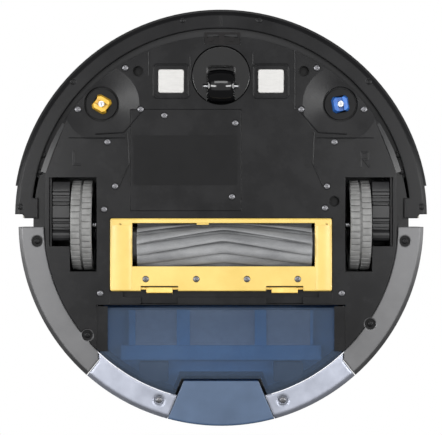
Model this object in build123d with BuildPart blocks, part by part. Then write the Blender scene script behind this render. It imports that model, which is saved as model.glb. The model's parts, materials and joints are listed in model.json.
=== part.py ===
from build123d import *
import os
from math import cos, radians, sin

os.makedirs("parts", exist_ok=True)

# Robot vacuum, wheels down. Millimetres, +Z up, +Y to the front, right side +X.
# The origin is on the floor, under the middle of the outline.

# ---------------------------------------------------------------- driving sizes
BODY_CENTRE = (0, -4.5)  # the body circle sits a little behind the bumper circle
BODY_R = 139.5
BODY_WALL = 2.4
SKIRT_R = 150.5
SKIRT_IN_R = 131.5
BUMPER_R = 153.0
BUMPER_IN_R = 140.5
STRIP_R = 155.0

BASE_Z = 9.0  # underside of the floor plate
FLOOR = 3.0  # its thickness
STEP_Z = 15.0  # underside of the raised rim round the floor plate
RIM_TOP = 17.4
WALL_TOP = 70.0
SHELL_TOP = 71.2
COVER_EDGE_Z = 72.0
TOP_Z = 76.0
SKIRT_Z = 12.0
BUMPER_Z = 11.0
SHELL = 2.4  # wall of the outer shells
SHELL_LIP = 2.2

PLATE_HALF = 129.8  # straight sides of the floor plate
SKIRT_FRONT_Y = -7.0
SKIRT_RING_R = 4.9  # rim round each skirt screw
SKIRT_RECESS = 1.9

WHEEL_X = 103.5
WHEEL_Y = -5.7
WHEEL_R = 33.5
TYRE_W = 15.5
HUB_R = 28.0
AXLE_R = 3.0
PIVOT_Y = 18.0
PIVOT_Z = 34.0
PIN_R = 2.5
RUNNING = 0.05  # radial clearance of every running fit

CASTER_Y = 105.3
CASTER_TRAIL = 8.0
CASTER_R = 12.5
CASTER_W = 19.3
CASTER_WELL_R = 22.0
STEM_R = 4.0

HUB_X = 88.5  # side brush drives
HUB_Y = 84.0
HUB_RECESS_R = 13.0
DISH_R = 28.0

ROLLER_Y = -20.2
ROLLER_Z = 21.0
ROLLER_R = 17.5
ROLLER_LEFT = -67.7
ROLLER_RIGHT = 62.5
SHAFT_R = 2.0
CHAMBER_R = 19.3
ROLLER_PULLEY_R = 5.4
MOTOR_PULLEY_R = 3.6
BRUSH_MOTOR_AT = (-52.0, 51.0)  # Y and Z of the brush motor's shaft
BELT_X = 70.8
BELT_W = 3.6
BELT_T = 1.2

COVER_Z = 7.5  # underside of the brush cover
COVER_T = 3.3
COVER_HALF = 82.1
COVER_FRONT = -0.6
COVER_BACK = -54.5
COVER_BEAD_R = 1.6  # round lower front edge, the hinge line of the cover
LATCH_BAYS = [(31.7, 59.5), (-60.9, -33.4)]
SILL_BACK = -64.0
SILL_GAP = 0.05

BIN_HALF = 90.0
BIN_FRONT = -67.0
BIN_Z = 12.5
BIN_LID_Z = 58.4
BIN_WALL = 2.0
BAY_HALF = 92.3

SCREW_R = 2.3
SHANK_R = 1.2
HEAD_T = 1.4
SCREW_TIP = 12.6

# Screws of the floor plate: the mirrored ones first, then those of one side only
PLATE_SCREWS = [
    (70.9, 110.8), (-70.9, 110.8), (106, 80.1), (-106, 80.1), (59.5, 80.1), (-59.5, 80.1),
    (84, 55.9), (-84, 55.9), (78.4, 23.1), (-78.4, 23.1), (86.6, 6), (-77, 7), (89.5, -56.2),
    (-89.5, -56.2),
]
DOOR_SCREWS = [(42, 75.5), (-10.6, 69.9), (-8.1, 15.3)]
RIM_SCREWS = [(132, 46.5), (-132, 46.5), (134.5, 34), (-134.5, 34)]
DEEP_HOLES = [(61.5, 108.4), (-61.5, 108.4), (-84, 12)]
SKIRT_SCREWS = [(136.4, -17.6), (99.1, -87.3), (-136.4, -17.6), (-110.7, -78.9)]
BIN_SCREWS = [(46, -135.5), (-46, -135.5)]
BUMPER_SCREW_R = 149.0
BUMPER_SCREW_ANGLES = [3, 42.5, 79, 101, 137.5, 177]

DOOR_X = (-15.0, 67.0)
DOOR_Y = (5.0, 80.0)
CONTACT_X = 37.0
CONTACT_Y = 101.0
CONTACT_SIZE = (19.0, 17.5)
SENSOR_X = (-14.0, 12.0)
SENSOR_Y = (128.4, 137.6)
BUTTON_Y = 55.0
BUTTON_R = 13.0
DOOR_T = 1.9
HUB_SHAFT_R = 2.2
BAY_FRONT = -65.8
MARK_RISE = 0.5
SOCKET_Y = -30.0
SOCKET_Z = 30.0
SOCKET_R = 5.0
SOCKET_BORE_R = 2.75


def span(low, high, front, back, mode=Mode.ADD):
    """A sketch rectangle from its low and high X and its two Y limits."""
    with Locations(((low + high) / 2, (front + back) / 2)):
        Rectangle(abs(high - low), abs(front - back), mode=mode)


def plate_outline(inset):
    """The floor plate seen from above: a disc with straight sides, narrower behind the wheels."""
    with BuildSketch() as outline:
        with Locations(BODY_CENTRE):
            Circle(BODY_R - 0.5 - inset)
        with Locations((0, SKIRT_FRONT_Y - 100)):
            Rectangle(400, 200, mode=Mode.SUBTRACT)
        with Locations(BODY_CENTRE):
            Circle(SKIRT_IN_R - 0.5 - inset)
        Rectangle(2 * (PLATE_HALF - inset), 400, mode=Mode.INTERSECT)
    return outline.sketch


def bin_sector(gap):
    """The part of the circle that the dust bin takes up, with its flared rear corners."""
    half = BIN_HALF + gap
    with BuildSketch() as sector:
        with BuildLine():
            Polyline(
                (-half, BIN_FRONT + gap), (half, BIN_FRONT + gap), (half, -106), (half + 34.6, -150),
                (half + 34.6, -165), (-half - 34.6, -165), (-half - 34.6, -150), (-half, -106),
                close=True,
            )
        make_face()
    return sector.sketch


def release_outline(gap):
    """The trapezoid of the release button, open to the rear."""
    with BuildSketch() as trapezoid:
        with BuildLine():
            Polyline(
                (-27.7 - gap, -121.4 + gap), (27.7 + gap, -121.4 + gap), (44 + gap, -160),
                (-44 - gap, -160), close=True,
            )
        make_face()
    return trapezoid.sketch


# ---------------------------------------------------------------- base pan
# Floor plate, raised rim, outer wall, bin bay, battery tray, caster tower and wells.
FACET_FROM = (115.5, 69.0)  # the sloping facet at each front corner of the floor plate
FACET_TO = (129.8, 33.0)
FACET_ANGLE = 35.0
TOWER_TOP = 44.0
WELL_TOP = 36.0
BOARD_Z = 50.0
BOARD_POSTS = [(74, 12), (-74, 12), (74, 58), (-74, 58)]

with BuildPart() as base_pan:
    with BuildSketch(Plane.XY.offset(STEP_Z)):
        with Locations(BODY_CENTRE):
            Circle(BODY_R)
    extrude(amount=WALL_TOP - STEP_Z)
    with BuildSketch(Plane.XY.offset(STEP_Z)):
        with Locations(*RIM_SCREWS):
            Circle(3.4)
    extrude(amount=RIM_TOP - STEP_Z)
    with BuildSketch(Plane.XY.offset(BASE_Z)):
        add(plate_outline(0))
    extrude(amount=STEP_Z - BASE_Z)
    # inside, above and below the rim
    with BuildSketch(Plane.XY.offset(RIM_TOP)):
        with Locations(BODY_CENTRE):
            Circle(BODY_R - BODY_WALL)
    extrude(amount=WALL_TOP, mode=Mode.SUBTRACT)
    with BuildSketch(Plane.XY.offset(BASE_Z + FLOOR)):
        add(plate_outline(BODY_WALL))
    extrude(amount=RIM_TOP - BASE_Z, mode=Mode.SUBTRACT)
    # sloping facets at the front corners
    for side in (1, -1):
        run = Vector(FACET_TO[0] - FACET_FROM[0], FACET_TO[1] - FACET_FROM[1], 0).normalized()
        outward = Vector(-run.Y, run.X, 0)
        slope = outward * cos(radians(FACET_ANGLE)) + Vector(0, 0, sin(radians(FACET_ANGLE)))
        normal = slope.cross(run)
        if normal.Z > 0:
            normal = normal * -1
        at = Vector(FACET_FROM[0] * side, FACET_FROM[1], BASE_Z)
        turned = Vector(normal.X * side, normal.Y, normal.Z)
        with BuildSketch(Plane(origin=at, z_dir=turned)):
            Circle(60)
        extrude(amount=8, mode=Mode.SUBTRACT)
    # caster tower, side brush bosses, deep screw wells, board posts
    with BuildSketch(Plane.XY.offset(BASE_Z + FLOOR - 1)):
        with Locations((0, CASTER_Y)):
            Circle(CASTER_WELL_R + 2.3)
    extrude(amount=TOWER_TOP - BASE_Z - FLOOR + 1)
    with BuildSketch(Plane.XY.offset(BASE_Z + 1)):
        with Locations((HUB_X, HUB_Y), (-HUB_X, HUB_Y)):
            Circle(HUB_RECESS_R + 1.5)
        with Locations(*DEEP_HOLES):
            Circle(5.2)
    extrude(amount=RIM_TOP - BASE_Z - 1)
    with BuildSketch(Plane.XY.offset(BASE_Z + 1)):
        with Locations(*BOARD_POSTS):
            Circle(3)
    extrude(amount=BOARD_Z - BASE_Z - 1.1)
    # battery tray walls
    with BuildSketch(Plane.XY.offset(BASE_Z + 2.5)):
        span(DOOR_X[0] - 2.2, DOOR_X[1] + 2.2, DOOR_Y[0] - 2, DOOR_Y[1] + 2)
    extrude(amount=24)
    with BuildSketch(Plane.XY.offset(BASE_Z + 2.5)):
        span(DOOR_X[0] - 0.4, DOOR_X[1] + 0.4, DOOR_Y[0] - 0.2, DOOR_Y[1] + 0.2)
    extrude(amount=30, mode=Mode.SUBTRACT)
    # battery opening through the floor, inside the seat of the door
    with BuildSketch(Plane.XY.offset(BASE_Z)):
        span(DOOR_X[0] + 1.5, DOOR_X[1] - 1.5, DOOR_Y[0] + 1.5, DOOR_Y[1] - 1.5)
    extrude(amount=3, mode=Mode.SUBTRACT)
    with BuildSketch(Plane.XY.offset(BASE_Z)):
        span(DOOR_X[0] - 0.2, DOOR_X[1] + 0.2, DOOR_Y[0] - 0.2, DOOR_Y[1] + 0.2)
    extrude(amount=DOOR_T + 0.1, mode=Mode.SUBTRACT)
    # bin bay: side walls, front wall with the dirt mouth, rails under the bin
    with BuildSketch(Plane.XY.offset(BASE_Z + 1)):
        span(-BAY_HALF - 2, BAY_HALF + 2, BAY_FRONT + 1.8, -98)
        with Locations(BODY_CENTRE):
            Circle(BODY_R - 1, mode=Mode.INTERSECT)
    extrude(amount=WALL_TOP - BASE_Z - 1)
    with BuildSketch(Plane.XY.offset(BASE_Z - 1)):
        span(-BAY_HALF, BAY_HALF, BAY_FRONT, -160)
        add(bin_sector(2.3))
    extrude(amount=WALL_TOP, mode=Mode.SUBTRACT)
    with BuildSketch(Plane.XY.offset(BASE_Z + 1)):
        span(84, BAY_HALF + 1, BAY_FRONT, -99)
        span(-84, -BAY_HALF - 1, BAY_FRONT, -99)
    extrude(amount=2.2)
    with BuildSketch(Plane.XZ.offset(-BAY_FRONT - 3)):
        with Locations((0, 26)):
            Rectangle(117, 21)
    extrude(amount=6, mode=Mode.SUBTRACT)
    # opening of the brush module
    with BuildSketch(Plane.XY.offset(BASE_Z - 1)):
        span(-COVER_HALF - 0.5, COVER_HALF + 0.5, COVER_FRONT + 0.3, SILL_BACK)
    extrude(amount=FLOOR + 1, mode=Mode.SUBTRACT)
    # wheel slots and drive wells
    with BuildSketch(Plane.XY.offset(BASE_Z - 1)):
        for side in (1, -1):
            span(side * 92, side * 112, -40, 29.7)
            span(side * 111.5, side * 127.3, -21.3, 29.7)
    extrude(amount=RIM_TOP - BASE_Z + 2, mode=Mode.SUBTRACT)
    # caster well and its bearing
    with Locations((0, CASTER_Y, BASE_Z)):
        Cylinder(
            CASTER_WELL_R, WELL_TOP - BASE_Z, align=(Align.CENTER, Align.CENTER, Align.MIN),
            mode=Mode.SUBTRACT,
        )
        Cylinder(
            STEM_R + RUNNING, 60, align=(Align.CENTER, Align.CENTER, Align.MIN), mode=Mode.SUBTRACT,
        )
    # side brush dishes, recesses and shaft holes
    for side in (1, -1):
        with BuildSketch(Plane.XZ.offset(-HUB_Y)):
            with BuildLine():
                Polyline(
                    (side * HUB_X, BASE_Z - 1), (side * (HUB_X + DISH_R), BASE_Z - 1),
                    (side * (HUB_X + DISH_R), BASE_Z), (side * (HUB_X + HUB_RECESS_R), BASE_Z + 2.1),
                    (side * (HUB_X + HUB_RECESS_R), STEP_Z + 0.4), (side * HUB_X, STEP_Z + 0.4),
                    close=True,
                )
            make_face()
        revolve(axis=Axis((side * HUB_X, HUB_Y, 0), (0, 0, 1)), mode=Mode.SUBTRACT)
    with Locations((HUB_X, HUB_Y, BASE_Z), (-HUB_X, HUB_Y, BASE_Z)):
        Cylinder(HUB_SHAFT_R + 0.3, 30, mode=Mode.SUBTRACT)
    # seats of the charging contacts
    with BuildSketch(Plane.XY.offset(BASE_Z)):
        with Locations((CONTACT_X, CONTACT_Y), (-CONTACT_X, CONTACT_Y)):
            RectangleRounded(24, 23.4, 3)
    extrude(amount=0.7, mode=Mode.SUBTRACT)
    with BuildSketch(Plane.XY.offset(BASE_Z)):
        with Locations((CONTACT_X, CONTACT_Y), (-CONTACT_X, CONTACT_Y)):
            RectangleRounded(CONTACT_SIZE[0] + 0.4, CONTACT_SIZE[1] + 0.4, 1.9)
    extrude(amount=FLOOR, mode=Mode.SUBTRACT)
    # notch of the front floor sensor
    with BuildSketch(Plane.XY.offset(BASE_Z - 1)):
        span(SENSOR_X[0] - 0.3, SENSOR_X[1] + 0.3, SENSOR_Y[0] - 0.3, 145)
    extrude(amount=12, mode=Mode.SUBTRACT)
    # room for the skirts below the rim, behind the wheels
    with BuildSketch(Plane.XY.offset(BASE_Z - 1)):
        span(-200, 200, SKIRT_FRONT_Y + 0.3, -200)
        with Locations(BODY_CENTRE):
            Circle(SKIRT_IN_R - 0.5, mode=Mode.SUBTRACT)
        with Locations(*SKIRT_SCREWS):
            Circle(5.1)
    extrude(amount=STEP_Z - BASE_Z + 1, mode=Mode.SUBTRACT)
    # screw holes
    with BuildSketch(Plane.XY.offset(BASE_Z)):
        with Locations(*PLATE_SCREWS):
            Circle(SCREW_R + 0.25)
    extrude(amount=0.9, mode=Mode.SUBTRACT)
    with BuildSketch(Plane.XY.offset(BASE_Z)):
        with Locations(*PLATE_SCREWS):
            Circle(SHANK_R + RUNNING)
    extrude(amount=FLOOR + 1, mode=Mode.SUBTRACT)
    with BuildSketch(Plane.XY.offset(BASE_Z)):
        with Locations(*DEEP_HOLES):
            Circle(4)
    extrude(amount=6.5, mode=Mode.SUBTRACT)
    with BuildSketch(Plane.XY.offset(STEP_Z)):
        with Locations(*RIM_SCREWS, *SKIRT_SCREWS):
            Circle(SHANK_R + RUNNING)
    extrude(amount=4, mode=Mode.SUBTRACT)
    # hole of the charging socket
    with Locations((BODY_R - 2, SOCKET_Y, SOCKET_Z)):
        Cylinder(2, 20, rotation=(0, 90, 0), mode=Mode.SUBTRACT)
    # raised marks beside the brush drives: a plain L and a plain R in straight strokes
    with BuildSketch(Plane.XY.offset(BASE_Z - MARK_RISE)):
        span(108.6, 109.8, 38.6, 49.4)
        span(103.8, 109.8, 38.6, 39.8)
        span(-103, -104.2, 37, 48.9)
        span(-103, -109.5, 47.7, 48.9)
        span(-103, -109.5, 42.6, 43.8)
        span(-108.3, -109.5, 42.6, 48.9)
        with Locations(Location((-107.6, 40.2), 52)):
            Rectangle(7.4, 1.2)
    extrude(amount=MARK_RISE + 0.2)
base_pan.part.label = "base_pan"
export_step(base_pan.part, "parts/base_pan.step")

# strip behind the brush cover, in three lengths, with a bay for a fingertip at each latch
with BuildPart() as latch_sill:
    with BuildSketch(Plane.XY.offset(BASE_Z)):
        span(-COVER_HALF - 0.4, COVER_HALF + 0.4, COVER_BACK - 0.5, SILL_BACK + SILL_GAP)
        span(-72.5, 72.5, COVER_BACK, -59, mode=Mode.SUBTRACT)
        for low, high in LATCH_BAYS:
            span(low, high, COVER_BACK, SILL_BACK - 1, mode=Mode.SUBTRACT)
    extrude(amount=FLOOR)
latch_sill.part.label = "latch_sill"
export_step(latch_sill.part, "parts/latch_sill.step")

# ---------------------------------------------------------------- covers, skirts and bumper
with BuildPart() as top_cover:
    with BuildSketch(Plane.XZ.offset(-BODY_CENTRE[1])):
        with BuildLine():
            Polyline((0, WALL_TOP + 0.2), (BODY_R, WALL_TOP + 0.2), (BODY_R, COVER_EDGE_Z - 0.8))
            Line((BODY_R, COVER_EDGE_Z - 0.8), (BODY_R - 0.8, COVER_EDGE_Z))
            ThreePointArc((BODY_R - 0.8, COVER_EDGE_Z), (BODY_R / 2, TOP_Z - 1), (0, TOP_Z))
            Line((0, TOP_Z), (0, WALL_TOP + 0.2))
        make_face()
    revolve(axis=Axis((0, BODY_CENTRE[1], 0), (0, 0, 1)))
    with BuildSketch(Plane.XZ.offset(-BODY_CENTRE[1])):
        with BuildLine():
            Polyline((0, WALL_TOP), (BODY_R - 6, WALL_TOP), (BODY_R - 6, COVER_EDGE_Z - 1.2))
            Line((BODY_R - 6, COVER_EDGE_Z - 1.2), (0, TOP_Z - 2.4))
            Line((0, TOP_Z - 2.4), (0, WALL_TOP))
        make_face()
    revolve(axis=Axis((0, BODY_CENTRE[1], 0), (0, 0, 1)), mode=Mode.SUBTRACT)
    with BuildSketch(Plane.XY.offset(WALL_TOP + 0.2)):
        with Locations((0, BUTTON_Y)):
            Circle(BUTTON_R + 3)
    extrude(amount=3.4)
    with BuildSketch(Plane.XY.offset(WALL_TOP)):
        with Locations((0, BUTTON_Y)):
            Circle(BUTTON_R + 0.4)
    extrude(amount=10, mode=Mode.SUBTRACT)
top_cover.part.label = "top_cover"
export_step(top_cover.part, "parts/top_cover.step")

with BuildPart() as start_button:
    with BuildSketch(Plane.XY.offset(TOP_Z - 3.4)):
        with Locations((0, BUTTON_Y)):
            Circle(BUTTON_R)
    extrude(amount=3.0)
    fillet(start_button.faces().sort_by(Axis.Z)[-1].edges(), 0.6)
start_button.part.label = "start_button"
export_step(start_button.part, "parts/start_button.step")


def shell_ring(centre_y, outer, inner_low, inner_high, low):
    """A full ring with a C-shaped section: bottom flange, wall and top lip."""
    wall = outer - SHELL
    lip_z = SHELL_TOP - SHELL_LIP
    flange_z = low + SHELL_LIP
    with BuildPart() as ring:
        with BuildSketch(Plane.XZ.offset(-centre_y)):
            with BuildLine():
                Polyline(
                    (inner_low, low), (outer - 3, low), (outer, low + 3), (outer, SHELL_TOP - 1.2),
                    (outer - 1.2, SHELL_TOP), (inner_high, SHELL_TOP), (inner_high, lip_z),
                    (wall, lip_z), (wall, flange_z + 1.6), (wall - 1.6, flange_z),
                    (inner_low, flange_z), close=True,
                )
            make_face()
        revolve(axis=Axis((0, centre_y, 0), (0, 0, 1)))
    return ring.part


skirt_ring = shell_ring(BODY_CENTRE[1], SKIRT_R, SKIRT_IN_R, BODY_R + 0.4, SKIRT_Z)
for side_name, side in (("right", 1), ("left", -1)):
    own_screws = [at for at in SKIRT_SCREWS if at[0] * side > 0]
    with BuildPart() as side_skirt:
        add(skirt_ring)
        with BuildSketch(Plane.XY):
            span(0, side * 200, SKIRT_FRONT_Y, -200)
            add(bin_sector(1.4), mode=Mode.SUBTRACT)
        extrude(amount=100, mode=Mode.INTERSECT)
        # screw towers up to the rim of the base
        with BuildSketch(Plane.XY.offset(SKIRT_Z)):
            with Locations(*own_screws):
                Circle(6)
            with Locations(BODY_CENTRE):
                Circle(SKIRT_IN_R, mode=Mode.SUBTRACT)
            with Locations(*own_screws):
                Circle(SKIRT_RING_R)
        extrude(amount=STEP_Z - SKIRT_Z - 0.1)
        with BuildSketch(Plane.XY.offset(SKIRT_Z)):
            with Locations(*own_screws):
                Circle(SKIRT_RING_R - 0.8)
        extrude(amount=SKIRT_RECESS, mode=Mode.SUBTRACT)
        with BuildSketch(Plane.XY.offset(SKIRT_Z)):
            with Locations(*own_screws):
                Circle(SHANK_R + RUNNING)
        extrude(amount=4, mode=Mode.SUBTRACT)
        if side == 1:
            with Locations((SKIRT_R - 2, SOCKET_Y, SOCKET_Z)):
                Cylinder(SOCKET_R + 0.2, 12, rotation=(0, 90, 0), mode=Mode.SUBTRACT)
    side_skirt.part.label = f"side_skirt_{side_name}"
    export_step(side_skirt.part, f"parts/side_skirt_{side_name}.step")


def pan_screws(places, head_z, head_r, tip):
    """Round-headed screws that point up, one separate solid at each place."""
    with BuildPart() as screws:
        with BuildSketch(Plane.XY.offset(head_z)):
            with Locations(*places):
                Circle(head_r)
        extrude(amount=HEAD_T)
        with BuildSketch(Plane.XY.offset(head_z + HEAD_T)):
            with Locations(*places):
                Circle(SHANK_R)
        extrude(amount=tip - head_z - HEAD_T)
        rims = screws.edges().filter_by(GeomType.CIRCLE).group_by(Axis.Z)[0]
        chamfer(rims, 0.45)
        with BuildSketch(Plane.XY.offset(head_z)):
            for place in places:
                with Locations(place):
                    Rectangle(2.6, 0.7)
                    Rectangle(0.7, 2.6)
        extrude(amount=0.7, mode=Mode.SUBTRACT)
    return screws.part


with BuildPart() as chassis_screws:
    add(pan_screws(PLATE_SCREWS, BASE_Z - 0.5, SCREW_R, SCREW_TIP))
    add(pan_screws(DOOR_SCREWS, BASE_Z - 0.5, SCREW_R, SCREW_TIP))
    add(pan_screws(RIM_SCREWS, STEP_Z - HEAD_T, 1.9, RIM_TOP + 1))
    add(pan_screws(SKIRT_SCREWS, SKIRT_Z + SKIRT_RECESS - HEAD_T, 3.4, RIM_TOP + 1))
chassis_screws.part.label = "chassis_screws"
export_step(chassis_screws.part, "parts/chassis_screws.step")

BUMPER_SCREWS = [
    (BUMPER_SCREW_R * cos(radians(a)), BUMPER_SCREW_R * sin(radians(a))) for a in BUMPER_SCREW_ANGLES
]
with BuildPart() as bumper_shell:
    add(shell_ring(0, BUMPER_R, BUMPER_IN_R, BUMPER_IN_R, BUMPER_Z))
    with BuildSketch(Plane.XY):
        span(-200, 200, -0.6, 200)
        # the wall ends a little ahead of the flange, with a round corner
        with Locations((151, -2.6), (-151, -2.6)):
            RectangleRounded(10.4, 10, 2.4, mode=Mode.SUBTRACT)
    extrude(amount=100, mode=Mode.INTERSECT)
    # inward pads of the flange at its two ends
    with BuildSketch(Plane.XY.offset(BUMPER_Z)):
        span(136, 142, -0.6, 14.5)
        span(-136, -142, -0.6, 14.5)
    extrude(amount=SHELL_LIP)
    with BuildSketch(Plane.XY.offset(BUMPER_Z)):
        with Locations(*BUMPER_SCREWS):
            Circle(1.9)
    extrude(amount=1.1, mode=Mode.SUBTRACT)
    with BuildSketch(Plane.XY.offset(BUMPER_Z)):
        with Locations(*BUMPER_SCREWS):
            Circle(SHANK_R + RUNNING)
    extrude(amount=SHELL_LIP, mode=Mode.SUBTRACT)
    # shallow seam mark at the middle of the flange
    with BuildSketch(Plane.XY.offset(BUMPER_Z)):
        span(-0.4, 0.4, 141, 151)
    extrude(amount=0.3, mode=Mode.SUBTRACT)
    # seat of the rubber strip
    with BuildSketch(Plane.XZ):
        with Locations((BUMPER_R, 31)):
            Rectangle(2, 26)
    revolve(axis=Axis.Z, mode=Mode.SUBTRACT)
bumper_shell.part.label = "bumper_shell"
export_step(bumper_shell.part, "parts/bumper_shell.step")

with BuildPart() as bumper_strip:
    with BuildSketch(Plane.XZ):
        with BuildLine():
            Polyline(
                (BUMPER_R - 0.95, 18.1), (STRIP_R - 0.8, 18.1), (STRIP_R, 19.6), (STRIP_R, 42.4),
                (STRIP_R - 0.8, 43.9), (BUMPER_R - 0.95, 43.9), close=True,
            )
        make_face()
    revolve(axis=Axis.Z)
    with BuildSketch(Plane.XY):
        span(-200, 200, 23.7, 200)
    extrude(amount=100, mode=Mode.INTERSECT)
bumper_strip.part.label = "bumper_strip"
export_step(bumper_strip.part, "parts/bumper_strip.step")

with BuildPart() as bumper_screws:
    add(pan_screws(BUMPER_SCREWS, BUMPER_Z + 1.1 - HEAD_T, 1.8, BUMPER_Z + SHELL_LIP))
bumper_screws.part.label = "bumper_screws"
export_step(bumper_screws.part, "parts/bumper_screws.step")

# two pale guide blocks behind the bumper's ends, fixed to its wall
with BuildPart() as bumper_guides:
    with BuildSketch(Plane.XY.offset(46)):
        span(147, 150.3, -0.4, 6)
        span(-147, -150.3, -0.4, 6)
    extrude(amount=14)
bumper_guides.part.label = "bumper_guides"
export_step(bumper_guides.part, "parts/bumper_guides.step")

# micro switches on the outer wall that feel the bumper
with BuildPart() as bumper_switches:
    for side in (1, -1):
        with BuildSketch(Plane.XY.offset(38)):
            with Locations(Location((side * 52, 125.7), -side * 21.8)):
                Rectangle(13, 9)
        extrude(amount=7)
    with BuildSketch(Plane.XY.offset(30)):
        with Locations(BODY_CENTRE):
            Circle(BODY_R + 0.1)
    extrude(amount=20, mode=Mode.SUBTRACT)
bumper_switches.part.label = "bumper_switches"
export_step(bumper_switches.part, "parts/bumper_switches.step")

# ---------------------------------------------------------------- wheels and drive arms
WHEEL_WELL = (90.2, 113.8, -43.8, 34.8)  # low X, high X, back and front of the outer walls
ARM_WELL = (110.0, 127.2, -23.1, 34.8)
WELL_WALL = 1.6
WELL_LOW = 12.1
WELL_ROOF = 69.4
ARM_X = 112.1
ARM_OUT = 125.2
ARM_Y = (-17.6, 24.5)
ARM_Z = (14.0, 46.0)
ARM_WALL = 1.6
AXLE_X = (93.4, 117.0)

with BuildPart() as wheel_housing_right:
    with BuildSketch(Plane.XY.offset(WELL_LOW)):
        span(*WHEEL_WELL)
        span(*ARM_WELL)
    extrude(amount=WELL_ROOF - WELL_LOW)
    with BuildSketch(Plane.XY.offset(WELL_LOW)):
        span(
            WHEEL_WELL[0] + WELL_WALL, WHEEL_WELL[1] - WELL_WALL, WHEEL_WELL[2] + WELL_WALL,
            WHEEL_WELL[3] - WELL_WALL,
        )
        span(
            ARM_WELL[0] + WELL_WALL, ARM_WELL[1] - WELL_WALL, ARM_WELL[2] + WELL_WALL,
            ARM_WELL[3] - WELL_WALL,
        )
    extrude(amount=WELL_ROOF - WELL_LOW - WELL_WALL, mode=Mode.SUBTRACT)
    with Locations((ARM_WELL[1], PIVOT_Y, PIVOT_Z)):
        Cylinder(PIN_R + 0.02, 8, rotation=(0, 90, 0), mode=Mode.SUBTRACT)
wheel_housing_right.part.label = "wheel_housing_right"
export_step(wheel_housing_right.part, "parts/wheel_housing_right.step")

with BuildPart() as drive_gearbox_right:
    with BuildSketch(Plane.YZ.offset(ARM_X)):
        with Locations(((ARM_Y[0] + ARM_Y[1]) / 2, (ARM_Z[0] + ARM_Z[1]) / 2)):
            RectangleRounded(ARM_Y[1] - ARM_Y[0], ARM_Z[1] - ARM_Z[0], 5)
    extrude(amount=ARM_OUT - ARM_X)
    with BuildSketch(Plane.YZ.offset(ARM_X + ARM_WALL)):
        with Locations(((ARM_Y[0] + ARM_Y[1]) / 2, (ARM_Z[0] + ARM_Z[1]) / 2)):
            RectangleRounded(ARM_Y[1] - ARM_Y[0] - 3.2, ARM_Z[1] - ARM_Z[0] - 3.2, 3.4)
    extrude(amount=ARM_OUT, mode=Mode.SUBTRACT)
    # axle boss and pivot boss
    with BuildSketch(Plane.YZ.offset(ARM_X + 0.5)):
        with Locations((WHEEL_Y, WHEEL_R)):
            Circle(6)
        with Locations((PIVOT_Y, PIVOT_Z)):
            Circle(5)
    extrude(amount=5.4)
    with BuildSketch(Plane.YZ.offset(ARM_X - 1)):
        with Locations((WHEEL_Y, WHEEL_R)):
            Circle(AXLE_R + RUNNING)
    extrude(amount=8, mode=Mode.SUBTRACT)
    with BuildSketch(Plane.YZ.offset(ARM_X + 1)):
        with Locations((PIVOT_Y, PIVOT_Z)):
            Circle(PIN_R + RUNNING)
    extrude(amount=8, mode=Mode.SUBTRACT)
    # cooling ribs under the box
    with BuildSketch(Plane.XY.offset(ARM_Z[0] - 1)):
        for rib in range(6):
            with Locations(((ARM_X + ARM_OUT) / 2, ARM_Y[0] + 9 + rib * 4.6)):
                Rectangle(ARM_OUT - ARM_X - 1, 1.3)
    extrude(amount=1.4)
drive_gearbox_right.part.label = "drive_gearbox_right"
export_step(drive_gearbox_right.part, "parts/drive_gearbox_right.step")

with BuildPart() as drive_motor_right:
    with BuildSketch(Plane.XZ.offset(8)):
        with Locations(((ARM_X + ARM_OUT) / 2 + 0.4, 21.2)):
            Circle(5)
    extrude(amount=-26)
    with BuildSketch(Plane.XZ.offset(12)):
        with Locations(((ARM_X + ARM_OUT) / 2 + 0.4, 21.2)):
            Circle(1)
    extrude(amount=-6)
drive_motor_right.part.label = "drive_motor_right"
export_step(drive_motor_right.part, "parts/drive_motor_right.step")

with BuildPart() as wheel_axle_right:
    with BuildSketch(Plane.YZ.offset(AXLE_X[0])):
        with Locations((WHEEL_Y, WHEEL_R)):
            Circle(AXLE_R)
    extrude(amount=AXLE_X[1] - AXLE_X[0])
    chamfer(wheel_axle_right.edges().filter_by(GeomType.CIRCLE), 0.4)
wheel_axle_right.part.label = "wheel_axle_right"
export_step(wheel_axle_right.part, "parts/wheel_axle_right.step")

with BuildPart() as wheel_hub_right:
    with BuildSketch(Plane.YZ.offset(WHEEL_X - TYRE_W / 2 + 0.6)):
        with Locations((WHEEL_Y, WHEEL_R)):
            Circle(HUB_R - 0.03)
    extrude(amount=TYRE_W - 1.2)
    # dished faces between rim and hub on both sides
    with BuildSketch(Plane.YZ.offset(WHEEL_X + 2)):
        with Locations((WHEEL_Y, WHEEL_R)):
            Circle(HUB_R - 3)
            Circle(9, mode=Mode.SUBTRACT)
    extrude(amount=TYRE_W, mode=Mode.SUBTRACT)
    with BuildSketch(Plane.YZ.offset(WHEEL_X - 1)):
        with Locations((WHEEL_Y, WHEEL_R)):
            Circle(HUB_R - 3)
            Circle(9, mode=Mode.SUBTRACT)
    extrude(amount=-TYRE_W, mode=Mode.SUBTRACT)
    # lightening holes through the web
    with BuildSketch(Plane.YZ.offset(WHEEL_X - 3)):
        with Locations((WHEEL_Y, WHEEL_R)):
            with PolarLocations(17, 6):
                Circle(4.5)
            Circle(AXLE_R + 0.02)
    extrude(amount=-TYRE_W, both=True, mode=Mode.SUBTRACT)
wheel_hub_right.part.label = "wheel_hub_right"
export_step(wheel_hub_right.part, "parts/wheel_hub_right.step")

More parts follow.
